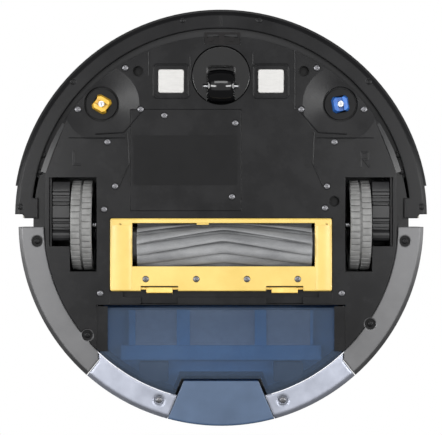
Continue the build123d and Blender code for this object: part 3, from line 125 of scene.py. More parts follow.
# The floor is seen and shadowed from above, and lets the lights below it through to the wheels' side.
floor_mesh = bpy.data.meshes.new("floor")
floor_mesh.from_pydata([(-9, -9, 0), (9, -9, 0), (9, 9, 0), (-9, 9, 0)], [], [(0, 1, 2, 3)])
floor = bpy.data.objects.new("floor", floor_mesh)
scene.collection.objects.link(floor)
floor_paint = bpy.data.materials.new("floor_paper")
floor_paint.use_nodes = True
tree = floor_paint.node_tree
tree.nodes.clear()
ray = add_node(tree, "ShaderNodeLightPath")
side = add_node(tree, "ShaderNodeNewGeometry")
from_above = add_node(tree, "ShaderNodeMath", {"operation": "SUBTRACT", "use_clamp": True},
                      {0: ray.outputs["Is Camera Ray"], 1: side.outputs["Backfacing"]})
clear = add_node(tree, "ShaderNodeBsdfTransparent")
paper = add_node(tree, "ShaderNodeBsdfDiffuse", {"Color": linear("F4F4F2"), "Roughness": 0.5})
floor_mix = add_node(tree, "ShaderNodeMixShader", {},
                     {0: from_above.outputs[0], 1: clear.outputs[0], 2: paper.outputs[0]})
add_node(tree, "ShaderNodeOutputMaterial", {}, {0: floor_mix.outputs[0]})
floor_mesh.materials.append(floor_paint)


# ---------------------------------------------------------------- finishes
def finish(name, light, dark, patch, grain, depth, rough, metallic=0.0, coat=0.0, stretch=(1, 1, 1),
           rough_spread=0.06, specular=0.5, clearness=0.0, tint="FFFFFF", sheen=0.0, edge=0.0):
    """One surface: two tones in patches and grain, uneven gloss, and the grain as fine relief.

    patch, grain, depth (of the relief) and edge (the radius of worn edges) are in millimetres.
    """
    material = bpy.data.materials.new(name)
    material.use_nodes = True
    tree = material.node_tree
    tree.nodes.clear()
    place = add_node(tree, "ShaderNodeTexCoord")
    turn = add_node(tree, "ShaderNodeMapping", {"Scale": stretch}, {"Vector": place.outputs["Object"]})
    cloud = add_node(tree, "ShaderNodeTexNoise", {"Scale": 1 / (patch * MM), "Detail": 3.0, "Roughness": 0.6},
                     {"Vector": turn.outputs[0]})
    speck = add_node(tree, "ShaderNodeTexNoise", {"Scale": 1 / (grain * MM), "Detail": 2.0},
                     {"Vector": turn.outputs[0]})
    blend = add_node(tree, "ShaderNodeMath", {"operation": "MULTIPLY_ADD", 1: 0.35},
                     {0: speck.outputs[0], 2: cloud.outputs[0]})
    share = add_node(tree, "ShaderNodeMapRange", {"From Min": 0.42, "From Max": 0.92},
                     {"Value": blend.outputs[0]})
    colour = add_node(tree, "ShaderNodeMix", {"data_type": "RGBA", 6: linear(dark), 7: linear(light)},
                      {0: share.outputs[0]})
    gloss = add_node(tree, "ShaderNodeMapRange",
                     {"From Min": 0.4, "From Max": 0.95, "To Min": rough - rough_spread,
                      "To Max": rough + rough_spread},
                     {"Value": blend.outputs[0]})
    relief = add_node(tree, "ShaderNodeBump", {"Strength": 1.0, "Distance": depth * MM},
                      {"Height": speck.outputs[0]})
    if edge:
        worn = add_node(tree, "ShaderNodeBevel", {"samples": 6, "Radius": edge * MM})
        tree.links.new(worn.outputs[0], relief.inputs["Normal"])
    body = add_node(tree, "ShaderNodeBsdfPrincipled",
                    {"Metallic": metallic, "Coat Weight": coat, "Coat Roughness": 0.12,
                     "Specular IOR Level": specular, "Sheen Weight": sheen},
                    {"Base Color": colour.outputs[2], "Roughness": gloss.outputs[0],
                     "Normal": relief.outputs[0]})
    shown = body
    if clearness:
        through = add_node(tree, "ShaderNodeBsdfTransparent", {"Color": linear(tint)})
        shown = add_node(tree, "ShaderNodeMixShader", {0: clearness},
                         {1: body.outputs[0], 2: through.outputs[0]})
    add_node(tree, "ShaderNodeOutputMaterial", {}, {0: shown.outputs[0]})
    return material


# Fine spark-eroded ABS, nearly black: the floor plate and all that is moulded with it
black_abs = finish("moulded_black_ABS", "1A1A1B", "131314", 22, 0.45, 0.004, 0.27, rough_spread=0.05,
                   specular=0.16, edge=0.35)
# The same ABS on the bumper, a little greyer and shinier where hands and furniture rub it
bumper_abs = finish("rubbed_bumper_ABS", "19191A", "131314", 30, 0.5, 0.005, 0.3, rough_spread=0.05,
                    specular=0.14, edge=1.6)
# The same ABS on the corner facets, which the mould's polish leaves smoother
facet_abs = finish("smooth_black_ABS", "202021", "18181A", 22, 0.45, 0.002, 0.3, rough_spread=0.04,
                   specular=0.5)
# Painted highlight: a near-white bead with a little metal flake along the inner edge of the bin's trim,
# standing in for the light that the edge catches
trim_painted_highlight = finish("bright_trim_edge", "F2F3F7", "E2E4EA", 10, 0.4, 0.002, 0.3, metallic=0.3)
# Black polycarbonate-ABS with a high gloss: the upper cover and the caster's bowl
gloss_black = finish("polished_black_PC_ABS", "0E0E0F", "080809", 40, 1.2, 0.002, 0.12, coat=0.3,
                     rough_spread=0.04, edge=0.8)
# Turned and polished nylon of the caster wheel
caster_gloss = finish("polished_caster_nylon", "0B0B0C", "060607", 14, 0.9, 0.001, 0.08, rough_spread=0.03)
# Grey metallic lacquer on the skirts: aluminium flake under a satin clear coat
grey_lacquer = finish("grey_metallic_lacquer", "666667", "59595A", 26, 0.35, 0.004, 0.42, metallic=0.75,
                      edge=1.6)
# Brighter silver lacquer on the bin's rear trim
silver_lacquer = finish("silver_metallic_lacquer", "A7ABB7", "9296A2", 18, 0.35, 0.004, 0.36, metallic=0.7,
                        edge=3.0)
# Soft dark rubber of the bumper's strip, dusty and matt
strip_rubber = finish("bumper_strip_rubber", "232324", "19191A", 16, 0.6, 0.02, 0.6, specular=0.25)
# Undyed nylon of the small guides
pale_nylon = finish("natural_nylon", "D5D2C8", "BEBBB1", 9, 0.5, 0.008, 0.45)
# Zinc-plated steel screw heads, with the dull mottling of the plating
zinc_plate = finish("zinc_plated_steel", "7E7E81", "626265", 1.6, 0.35, 0.01, 0.42, metallic=0.9)
# Black-oxide screws deep in the skirts and the bumper; in the skirts and on the rim their near-black is painted
# shade of the deep wells
black_oxide_and_well_shade = finish("black_oxide_steel", "1A1A1B", "0F0F10", 2, 0.4, 0.01, 0.4, metallic=0.6)
# Nickel-plated charging plates, bright with faint rubbing marks
nickel_plate = finish("nickel_plated_contact", "B6B5B3", "A9A8A6", 8, 0.3, 0.002, 0.46, metallic=0.3,
                      stretch=(1, 6, 1))
# Ground steel shafts, streaked round by the grinding wheel
ground_steel = finish("ground_steel", "C9CACC", "A4A5A8", 3, 0.25, 0.004, 0.25, metallic=1.0,
                      stretch=(1, 8, 8))
# Grey tyre rubber, matt with floor dust
tyre_rubber = finish("grey_tyre_rubber", "7E7E7D", "626261", 6, 0.4, 0.02, 0.62, sheen=0.1)
# The tyre's carcass between its blocks, darker than the blocks
tyre_root = finish("dusty_tyre_root", "4A4A49", "353534", 5, 0.4, 0.02, 0.7)
# Yellow and blue acetal of the keyed brush hubs
yellow_acetal = finish("yellow_acetal", "E2B53A", "B98C22", 4, 0.5, 0.008, 0.35)
blue_acetal = finish("blue_acetal", "2F6FC0", "1F4E96", 4, 0.5, 0.008, 0.35)
# Golden yellow ABS of the brush cover, satin, with slow tone changes of the mica in it, and of its latches
gold_abs = finish("golden_yellow_ABS", "D8BB68", "C5A853", 34, 0.45, 0.006, 0.34, coat=0.15, edge=0.8)
gold_tab = finish("golden_yellow_latch_ABS", "E6C56C", "CFA94E", 8, 0.45, 0.01, 0.34, coat=0.15)
# Grey silicone-filled rubber of the roller's vanes, drawn out along the vanes
roller_rubber = finish("grey_roller_rubber", "828384", "606163", 9, 0.5, 0.012, 0.5, stretch=(0.35, 1, 1))
# Smoke-blue clear ABS of the dust bin, faintly frosted
smoke_abs = finish("smoke_blue_clear_ABS", "506074", "435266", 40, 0.6, 0.003, 0.26, clearness=0.72,
                   tint="D6DFEA")
# Blue-grey ABS of the bin's lid, fine grained, and of the release button, in a darker shade
bin_lid_abs = finish("blue_grey_bin_ABS", "7FB0DC", "6C9CCB", 30, 0.6, 0.006, 0.4)
button_abs = finish("blue_grey_button_ABS", "425671", "374961", 26, 0.45, 0.006, 0.42, edge=1.2)
# Grey felt of the dust filter
filter_felt = finish("grey_filter_felt", "C0BCC2", "ACA8B0", 5, 0.5, 0.04, 0.85)
# Dark grey ABS of the boxes that hold the bin's latches
bin_panel = finish("dark_bin_panel_ABS", "54565F", "474952", 12, 0.5, 0.01, 0.5)
# Open-cell blue foam that seals the filter
blue_foam = finish("blue_seal_foam", "80B4E0", "6CA0CE", 7, 0.6, 0.05, 0.8)
# Blue PVC shrink wrap of the battery's cells
cell_wrap = finish("blue_shrink_wrap", "24458A", "1B3570", 12, 1.0, 0.004, 0.3)
# Solder mask of the printed board
board_green = finish("solder_masked_board", "1F5A37", "174729", 5, 0.4, 0.006, 0.4)
# Acrylic window of the infrared sensor, dark and clear
sensor_glass = finish("infrared_window_PMMA", "0B0708", "070405", 6, 0.8, 0.001, 0.08)
# Black acetal of the brush hubs' flanges; the same black lines the screw wells as painted shade
hub_black_and_well_shade = finish("black_acetal", "0E0E0F", "09090A", 6, 0.5, 0.006, 0.4, specular=0.15)
# Printed polyester film of the label, left blank
label_film = finish("blank_black_label_film", "111112", "0D0D0E", 18, 0.3, 0.004, 0.4, specular=0.12)
# Oiled spring steel of the drive arms' springs
spring_wire = finish("oiled_spring_steel", "8C8C8E", "6A6A6C", 2, 0.3, 0.006, 0.3, metallic=1.0)
# Dark grey glass-filled nylon of the gearboxes, hubs, bearings, pulleys and fan
rib_grey = finish("dark_grey_gearbox_PA", "262627", "1C1C1D", 9, 0.45, 0.006, 0.33, specular=0.35)

NODE_FINISH = {
    "base_pan": black_abs, "latch_sill": black_abs, "top_cover": gloss_black,
    "side_skirt_right": grey_lacquer, "side_skirt_left": grey_lacquer, "chassis_screws": zinc_plate,
    "bumper_switches": black_abs,
    "wheel_housing_right": black_abs, "wheel_housing_left": black_abs, "arm_pins": ground_steel,
    "suspension_springs": spring_wire, "side_brush_gearboxes": rib_grey, "brush_housing": black_abs,
    "roller_bearings": rib_grey, "brush_motor": ground_steel, "drive_belt": strip_rubber,
    "battery_door": black_abs, "battery_pack": cell_wrap, "charging_contacts": nickel_plate,
    "cliff_sensor": sensor_glass, "main_board": board_green, "charge_socket": black_abs,
    "fan_housing": rib_grey, "bumper_shell": bumper_abs, "bumper_strip": strip_rubber,
    "bumper_screws": black_oxide_and_well_shade, "bumper_guides": pale_nylon, "drive_gearbox_right": rib_grey,
    "drive_gearbox_left": rib_grey, "drive_motor_right": ground_steel, "drive_motor_left": ground_steel,
    "wheel_axle_right": ground_steel, "wheel_axle_left": ground_steel, "wheel_hub_right": rib_grey,
    "wheel_hub_left": rib_grey, "tyre_right": tyre_rubber, "tyre_left": tyre_rubber,
    "caster_yoke": gloss_black, "caster_wheel": caster_gloss, "caster_axle": ground_steel,
    "side_brush_hub_yellow": yellow_acetal, "side_brush_hub_blue": blue_acetal,
    "side_brush_shaft_yellow": ground_steel, "side_brush_shaft_blue": ground_steel,
    "roller_shaft": ground_steel, "roller_vanes": roller_rubber, "roller_pulley": rib_grey,
    "motor_pulley": ground_steel, "brush_cover": gold_abs, "cover_screws": zinc_plate,
    "cover_latch_right": gold_tab, "cover_latch_left": gold_tab, "bin_tub": smoke_abs,
    "bin_lid": bin_lid_abs, "dust_filter": filter_felt, "bin_trim": silver_lacquer,
    "bin_screws": zinc_plate, "release_button": button_abs, "start_button": gloss_black,
    "fan_impeller": rib_grey,
}
for node_name, material in NODE_FINISH.items():
    if node_name in nodes:
        nodes[node_name].data.materials.clear()
        nodes[node_name].data.materials.append(material)


# ---------------------------------------------------------------- making pieces
def body_of_node(node_name):
    """The body that a CAD node rides on."""
    bodies = frame["record"]["behaviour"]["bodies"]
    return next(body for body, members in bodies.items() if node_name in members)


def settle(name, mesh, material, body, replaced=()):
    """Puts a finished mesh in the scene as a piece on its body."""
    piece = bpy.data.objects.new(name, mesh)
    scene.collection.objects.link(piece)
    if material is not None:
        mesh.materials.clear()
        mesh.materials.append(material)
    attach(piece, body)
    if replaced:
        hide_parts(*replaced)
    return piece


def smooth_below(work, angle=32):
    """Smooth faces, with edges sharper than the angle kept crisp."""
    limit = math.radians(angle)
    for face in work.faces:
        face.smooth = True
    for edge in work.edges:
        edge.smooth = len(edge.link_faces) == 2 and edge.calc_face_angle(math.pi) < limit


def as_mesh(work, name, angle=32):
    """A bmesh as mesh data, its faces turned outwards."""
    bmesh.ops.recalc_face_normals(work, faces=work.faces)
    smooth_below(work, angle)
    mesh = bpy.data.meshes.new(name)
    work.to_mesh(mesh)
    work.free()
    return mesh


def evaluated_mesh(source, name):
    """The plain mesh that an object's modifiers give; the object is then removed."""
    bpy.context.view_layer.update()
    graph = bpy.context.evaluated_depsgraph_get()
    mesh = bpy.data.meshes.new_from_object(source.evaluated_get(graph), preserve_all_data_layers=True,
                                           depsgraph=graph)
    mesh.name = name
    bpy.data.objects.remove(source)
    return mesh


ROUNDED_FROM = math.radians(28)  # edges that turn more than this are rounded
CRISP_FROM = math.radians(3)  # shallower ones round a flat face stay crisp from here


def softened(node_name, radius):
    """A CAD node with its edges rounded by the mould's small radius, in place of the plain node."""
    work = bmesh.new()
    work.from_mesh(nodes[node_name].data)
    bmesh.ops.remove_doubles(work, verts=work.verts, dist=1e-6)
    for edge in work.edges:
        flat = [abs(face.normal.z) > 0.9999 for face in edge.link_faces]
        turn = edge.calc_face_angle(0)
        edge.smooth = all(flat) or not any(flat) or not CRISP_FROM < turn < ROUNDED_FROM
    mesh = bpy.data.meshes.new(node_name + "_soft")
    work.to_mesh(mesh)
    work.free()
    scratch = bpy.data.objects.new("scratch", mesh)
    scene.collection.objects.link(scratch)
    rounding = scratch.modifiers.new("rounding", "BEVEL")
    rounding.width = radius * MM
    rounding.segments = 2
    rounding.limit_method = "ANGLE"
    rounding.angle_limit = ROUNDED_FROM
    rounding.use_clamp_overlap = False
    evening = scratch.modifiers.new("evening", "WEIGHTED_NORMAL")
    evening.mode = "FACE_AREA"
    evening.weight = 100
    evening.keep_sharp = True
    for face in mesh.polygons:
        face.use_smooth = True
    final = evaluated_mesh(scratch, node_name + "_rounded")
    return settle(final.name, final, NODE_FINISH[node_name], body_of_node(node_name),
                  (node_name,))


def prism(work, outline, low, high, axis="Z"):
    """Adds a closed outline to a bmesh, drawn out from low to high along an axis. Millimetres."""
    order = {"X": lambda a, b, along: (along, a, b), "Y": lambda a, b, along: (a, along, b),
             "Z": lambda a, b, along: (a, b, along)}[axis]
    rings = [[work.verts.new(Vector(order(a, b, along)) * MM) for a, b in outline] for along in (low, high)]
    work.faces.new(rings[0])
    work.faces.new(rings[1])
    for at in range(len(outline)):
        after = (at + 1) % len(outline)
        work.faces.new((rings[0][at], rings[0][after], rings[1][after], rings[1][at]))


def box_outline(left, right, low, high, radius=0.0, steps=4):
    """A rectangle's outline with rounded corners, from left to right and from low to high."""
    corners = [(right - radius, high - radius, 0), (left + radius, high - radius, 90),
               (left + radius, low + radius, 180), (right - radius, low + radius, 270)]
    if radius == 0:
        return [(x, y) for x, y, start in corners]
    return [
        (x + radius * math.cos(math.radians(start + 90 * step / steps)),
         y + radius * math.sin(math.radians(start + 90 * step / steps)))
        for x, y, start in corners for step in range(steps + 1)
    ]


def lathe(work, profile, centre, axis, steps=64):
    """Adds a closed profile of (along, radius) points turned round an axis through centre. Millimetres."""
    rings = []
    for at in range(steps):
        turn = 2 * math.pi * at / steps
        ring = []
        for along, radius in profile:
            a, b = radius * math.cos(turn), radius * math.sin(turn)
            offset = {"X": (along, a, b), "Y": (a, along, b), "Z": (a, b, along)}[axis]
            ring.append(work.verts.new((Vector(centre) + Vector(offset)) * MM))
        rings.append(ring)
    for at in range(steps):
        near, far = rings[at], rings[(at + 1) % steps]
        for point in range(len(profile)):
            after = (point + 1) % len(profile)
            work.faces.new((near[point], near[after], far[after], far[point]))
    bmesh.ops.remove_doubles(work, verts=work.verts, dist=1e-7)


def round_edges(work, radius, steps=2, angle=30):
    """Rounds the edges of a bmesh that are sharper than the angle."""
    bmesh.ops.recalc_face_normals(work, faces=work.faces)
    sharp = [edge for edge in work.edges
             if len(edge.link_faces) == 2 and edge.calc_face_angle(0) > math.radians(angle)]
    bmesh.ops.bevel(work, geom=sharp, offset=radius * MM, segments=steps, profile=0.5, affect="EDGES",
                    clamp_overlap=True)


# ---------------------------------------------------------------- trees for what repeats
def new_tree(name, wanted):
    """An empty Geometry Nodes tree with a geometry input and output and the named inputs."""
    tree = bpy.data.node_groups.new(name, "GeometryNodeTree")
    tree.interface.new_socket("Geometry", in_out="INPUT", socket_type="NodeSocketGeometry")
    tree.interface.new_socket("Geometry", in_out="OUTPUT", socket_type="NodeSocketGeometry")
    for socket_name, kind in wanted.items():
        tree.interface.new_socket(socket_name, in_out="INPUT", socket_type="NodeSocket" + kind)
    return tree, add_node(tree, "NodeGroupInput")


def close_tree(tree, given, instances):
    """Ends a tree in Realize Instances and Set Material."""
    real = add_node(tree, "GeometryNodeRealizeInstances", {}, {0: instances})
    painted = add_node(tree, "GeometryNodeSetMaterial", {},
                       {"Geometry": real.outputs[0], "Material": given.outputs["Material"]})
    add_node(tree, "NodeGroupOutput", {}, {0: painted.outputs[0]})
    return tree


def grown(tree, name, inputs, start=None):
    """The mesh that a tree gives with these inputs, from a starting mesh or curve."""
    scratch = bpy.data.objects.new("scratch", start or bpy.data.meshes.new("scratch"))
    scene.collection.objects.link(scratch)
    modifier = scratch.modifiers.new("grow", "NODES")
    modifier.node_group = tree
    for item in tree.interface.items_tree:
        if item.item_type == "SOCKET" and item.in_out == "INPUT" and item.name in inputs:
            modifier[item.identifier] = inputs[item.name]
    return evaluated_mesh(scratch, name)


def template(work, name, angle=32):
    """An object that a tree repeats."""
    shape = bpy.data.objects.new(name, as_mesh(work, name, angle))
    scene.collection.objects.link(shape)
    return shape


# Copies of a template turned round an axle along X
ring_tree, given = new_tree(
    "blocks_round_an_axle",
    {"Template": "Object", "Count": "Int", "Centre": "Vector", "Phase": "Float", "Material": "Material"},
)
shape = add_node(ring_tree, "GeometryNodeObjectInfo", {}, {"Object": given.outputs["Template"]})
spots = add_node(ring_tree, "GeometryNodePoints", {},
                 {"Count": given.outputs["Count"], "Position": given.outputs["Centre"]})
number = add_node(ring_tree, "GeometryNodeInputIndex")
shifted = add_node(ring_tree, "ShaderNodeMath", {"operation": "ADD"},
                   {0: number.outputs[0], 1: given.outputs["Phase"]})
share = add_node(ring_tree, "ShaderNodeMath", {"operation": "DIVIDE"},
                 {0: shifted.outputs[0], 1: given.outputs["Count"]})
angle = add_node(ring_tree, "ShaderNodeMath", {"operation": "MULTIPLY", 1: 2 * math.pi},
                 {0: share.outputs[0]})
turn = add_node(ring_tree, "ShaderNodeCombineXYZ", {}, {"X": angle.outputs[0]})
copies = add_node(ring_tree, "GeometryNodeInstanceOnPoints", {},
                  {"Points": spots.outputs[0], "Instance": shape.outputs["Geometry"],
                   "Rotation": turn.outputs[0]})
close_tree(ring_tree, given, copies.outputs[0])

# Screw heads at the points of the starting mesh, each turned by chance about its own axis
screw_tree, given = new_tree(
    "screws_at_points", {"Template": "Object", "Seed": "Int", "Material": "Material"},
)
shape = add_node(screw_tree, "GeometryNodeObjectInfo", {}, {"Object": given.outputs["Template"]})
chance = add_node(screw_tree, "FunctionNodeRandomValue", {"data_type": "FLOAT", 2: 0.0, 3: 2 * math.pi},
                  {"Seed": given.outputs["Seed"]})
turn = add_node(screw_tree, "ShaderNodeCombineXYZ", {}, {"Z": chance.outputs[1]})
copies = add_node(screw_tree, "GeometryNodeInstanceOnPoints", {},
                  {"Points": given.outputs["Geometry"], "Instance": shape.outputs["Geometry"],
                   "Rotation": turn.outputs[0]})
close_tree(screw_tree, given, copies.outputs[0])

# A round bead along the starting mesh's edges, half sunk in the surface that it lies on
bead_tree, given = new_tree("raised_beads", {"Radius": "Float", "Corner": "Float", "Material": "Material"})
line = add_node(bead_tree, "GeometryNodeMeshToCurve", {}, {"Mesh": given.outputs["Geometry"]})
corner = add_node(bead_tree, "GeometryNodeFilletCurve", {"mode": "POLY", "Count": 5, "Limit Radius": True},
                  {"Curve": line.outputs[0], "Radius": given.outputs["Corner"]})
section = add_node(bead_tree, "GeometryNodeCurvePrimitiveCircle", {"Resolution": 8},
                   {"Radius": given.outputs["Radius"]})
swept = add_node(bead_tree, "GeometryNodeCurveToMesh", {"Fill Caps": True},
                 {"Curve": corner.outputs[0], "Profile Curve": section.outputs[0]})
close_tree(bead_tree, given, swept.outputs[0])

# A coil spring along X
coil_tree, given = new_tree(
    "coil_spring",
    {"Turns": "Float", "Coil Radius": "Float", "Wire Radius": "Float", "Length": "Float", "Start": "Vector",
     "Material": "Material"},
)
helix = add_node(coil_tree, "GeometryNodeCurveSpiral", {"Resolution": 28},
                 {"Rotations": given.outputs["Turns"], "Start Radius": given.outputs["Coil Radius"],
                  "End Radius": given.outputs["Coil Radius"], "Height": given.outputs["Length"]})
laid = add_node(coil_tree, "GeometryNodeTransform", {"Rotation": (0, math.pi / 2, 0)},
                {"Geometry": helix.outputs[0], "Translation": given.outputs["Start"]})
wire = add_node(coil_tree, "GeometryNodeCurvePrimitiveCircle", {"Resolution": 8},
                {"Radius": given.outputs["Wire Radius"]})
swept = add_node(coil_tree, "GeometryNodeCurveToMesh", {"Fill Caps": True},
                 {"Curve": laid.outputs[0], "Profile Curve": wire.outputs[0]})
close_tree(coil_tree, given, swept.outputs[0])


def islands(node_name):
    """(lowest corner, highest corner) of each separate solid of a CAD node, in millimetres."""
    work = bmesh.new()
    work.from_mesh(nodes[node_name].data)
    bmesh.ops.remove_doubles(work, verts=work.verts, dist=1e-6)
    left, found = set(work.verts), []
    while left:
        group, front = [], [left.pop()]
        while front:
            vert = front.pop()
            group.append(vert.co / MM)
            for edge in vert.link_edges:
                other = edge.other_vert(vert)
                if other in left:
                    left.remove(other)
                    front.append(other)
        found.append((Vector(map(min, *group)), Vector(map(max, *group))))
    work.free()
    return sorted(found, key=lambda box: tuple(round(c, 2) for c in box[0]))


def points_mesh(points):
    """A mesh of loose points, given in millimetres."""
    mesh = bpy.data.meshes.new("points")
    mesh.from_pydata([Vector(point) * MM for point in points], [], [])
    return mesh


def lines_mesh(lines):
    """A mesh of open or closed lines, given in millimetres. A line that ends where it starts is closed."""
    places, edges = [], []
    for line in lines:
        closed = line[0] == line[-1]
        spots = line[:-1] if closed else line
        first = len(places)
        places += [Vector(spot) * MM for spot in spots]
        edges += [(first + at, first + at + 1) for at in range(len(spots) - 1)]
        if closed:
            edges.append((first + len(spots) - 1, first))
    mesh = bpy.data.meshes.new("lines")
    mesh.from_pydata(places, edges, [])
    return mesh


# ---------------------------------------------------------------- moulded parts with rounded edges
EDGE_RADIUS = {
    "side_brush_hub_yellow": 0.15, "side_brush_hub_blue": 0.15, "wheel_hub_right": 0.4,
    "wheel_hub_left": 0.4, "drive_gearbox_right": 0.5, "drive_gearbox_left": 0.5,
    "cover_latch_right": 0.3, "cover_latch_left": 0.3,
}
for node_name, radius in EDGE_RADIUS.items():
    softened(node_name, radius)

# the brush hubs' round flanges are black; only their keyed cores are coloured
CORE_R = 8.2
CORE_DEPTH = 4.6
CORE_TRIM = 0.8  # the core's visible tip is a little narrower than its root
for colour in ("yellow", "blue"):
    hub = bpy.data.objects[f"side_brush_hub_{colour}_rounded"]
    low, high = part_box("side_brush_hub_" + colour)
    axis = (low + high) / 2
    core_top = low.z + CORE_DEPTH * MM
    for vert in hub.data.vertices:
        if (vert.co - axis).to_2d().length < CORE_R * MM and vert.co.z < core_top:
            vert.co.x = axis.x + CORE_TRIM * (vert.co.x - axis.x)
            vert.co.y = axis.y + CORE_TRIM * (vert.co.y - axis.y)
    hub.data.materials.append(hub_black_and_well_shade)
    for face in hub.data.polygons:
        flange = (face.center - axis).to_2d().length > CORE_R * MM or face.center.z > core_top
        face.material_index = 1 if flange else 0

# ---------------------------------------------------------------- screws
HEAD_T = 1.4
HEAD_R = 2.3
HEAD_STEPS = 24
SHANK_R = 1.1
CROSS_L = 1.25  # half the cross recess's length
CROSS_W = 0.34  # half the width of its arms
CROSS_DEPTH = 0.9


def screw_shape(name, shank):
    """A pan-head screw with a cross recess, head down, its seat at the origin and its shank upwards."""
    work = bmesh.new()

    def ring(points, z):
        return [work.verts.new(Vector((x, y, z)) * MM) for x, y in points]

    def circle(radius):
        turns = [math.radians(-15 + 360 * at / HEAD_STEPS) for at in range(HEAD_STEPS)]
        return [(radius * math.cos(turn), radius * math.sin(turn)) for turn in turns]

    def cross(length, width):
        quarter = [(length, -width), (length, width), (width, width)]
        turns = [Matrix.Rotation(math.radians(90 * at), 2) for at in range(4)]
        return [tuple(turn @ Vector(point)) for turn in turns for point in quarter]

    def wall(near, far):
        for at in range(len(near)):
            after = (at + 1) % len(near)
            work.faces.new((near[at], near[after], far[after], far[at]))

    mouth = ring(cross(CROSS_L, CROSS_W), -HEAD_T)
    floor_ring = ring(cross(CROSS_L * 0.6, CROSS_W * 0.7), -HEAD_T + CROSS_DEPTH)
    crown = ring(circle(HEAD_R * 0.7), -HEAD_T * 0.97)
    shoulder = ring(circle(HEAD_R * 0.93), -HEAD_T * 0.72)
    rim = ring(circle(HEAD_R), -HEAD_T * 0.35)
    seat = ring(circle(HEAD_R), 0)
    neck = ring(circle(SHANK_R), 0)
    tip = ring(circle(SHANK_R), shank)
    wall(mouth, floor_ring)
    work.faces.new(floor_ring)
    for at in range(len(mouth)):
        after = (at + 1) % len(mouth)
        work.faces.new((mouth[at], crown[2 * at], crown[2 * at + 1], crown[(2 * at + 2) % HEAD_STEPS],
                        mouth[after]))
    for near, far in ((crown, shoulder), (shoulder, rim), (rim, seat), (seat, neck), (neck, tip)):
        wall(near, far)
    work.faces.new(tip)
    return template(work, name)


def screws(name, node_name, solids, material, seed, replaced):
    """Crossed heads in place of some of a node's solids."""
    shank = min(high.z - low.z for low, high in solids) - HEAD_T
    head = screw_shape(name + "_head", shank)
    seats = [((low.x + high.x) / 2, (low.y + high.y) / 2, low.z + HEAD_T) for low, high in solids]
    mesh = grown(screw_tree, name, {"Template": head, "Seed": seed, "Material": material}, points_mesh(seats))
    bpy.data.objects.remove(head)
    settle(name, mesh, None, body_of_node(node_name), replaced)


# the screws of the rim and the skirts, near-black as painted shade of their deep wells, sit further out than
# RIM_FROM and behind RIM_FRONT
RIM_FROM = 125.0
RIM_FRONT = 60
for seed, node_name in enumerate(("cover_screws", "bin_screws", "bumper_screws")):
    screws(node_name + "_crossed", node_name, islands(node_name), NODE_FINISH[node_name], seed, (node_name,))
plate, rim = [], []
for low, high in islands("chassis_screws"):
    outside = math.hypot(low.x + high.x, low.y + high.y) / 2 > RIM_FROM and low.y < RIM_FRONT
    (rim if outside else plate).append((low, high))
screws("plate_screws_crossed", "chassis_screws", plate, zinc_plate, 7, ("chassis_screws",))
# these screws are near-black as painted shade of their deep wells
screws("rim_screws_crossed", "chassis_screws", rim, black_oxide_and_well_shade, 8, ())

# ---------------------------------------------------------------- tyres
TREAD_COUNT = 42
TREAD_GAP = 0.75
TREAD_GROOVE = 1.5
TREAD_DEPTH = 1.5

for side_name in ("right", "left"):
    node_name = "tyre_" + side_name
    low, high = (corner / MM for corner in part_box(node_name))
    radius = (high.z - low.z) / 2
    centre = (low + high) / 2
    half = (high.x - low.x) / 2
    hub_low, hub_high = (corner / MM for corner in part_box("wheel_hub_" + side_name))
    bore = (hub_high.z - hub_low.z) / 2
    work = bmesh.new()
    root = radius - TREAD_DEPTH
    lathe(work, [(-half, bore + 0.1), (-half, root - 1.2), (-half + 0.9, root - 0.2), (-half + 1.6, root),
                 (half - 1.6, root), (half - 0.9, root - 0.2), (half, root - 1.2), (half, bore + 0.1)],
          centre, "X", 96)
    carcass = as_mesh(work, "carcass")
    rows = []
    length = 2 * math.pi * radius / TREAD_COUNT - TREAD_GAP
    for row, (inner, outer) in enumerate(((-half + 0.2, -TREAD_GROOVE / 2), (TREAD_GROOVE / 2, half - 0.2))):
        work = bmesh.new()
        prism(work, box_outline(inner, outer, -length / 2, length / 2, 0.7, 3), root - 0.4, radius - 0.08)
        round_edges(work, 0.3, 2, 60)
        block = template(work, "tread_block")
        rows.append(grown(ring_tree, "tread_row", {
            "Template": block, "Count": TREAD_COUNT, "Centre": centre * MM, "Phase": 0.5 * row,
            "Material": tyre_rubber,
        }))
        bpy.data.objects.remove(block)
    work = bmesh.new()
    work.from_mesh(carcass)
    for face in work.faces:
        face.material_index = 1
    for mesh in rows:
        work.from_mesh(mesh)
    mesh = bpy.data.meshes.new("treaded_tyre_" + side_name)
    work.to_mesh(mesh)
    work.free()
    settle("treaded_tyre_" + side_name, mesh, tyre_rubber, body_of_node(node_name),
           (node_name,)).data.materials.append(tyre_root)

# ---------------------------------------------------------------- roller
VANE_COUNT = 12
CHEVRON_DEPTH = 12.0
CHEVRON_APEX = -2.0
VANE_END = 0.4  # the vanes stop this far inside the roller's ends
ROLLER_CORE = 0.76  # the core's share of the roller's radius
# one shingle-like vane's section: (radius share, degrees), thick at the root and thin at the tip
VANE_SECTION = [
    (0.70, 4), (0.80, 2), (0.885, -5), (0.95, -13), (0.988, -20), (0.996, -24), (0.985, -26.5),
    (0.95, -26), (0.90, -20), (0.83, -12), (0.72, -8),
]
VANE_STATIONS = 48

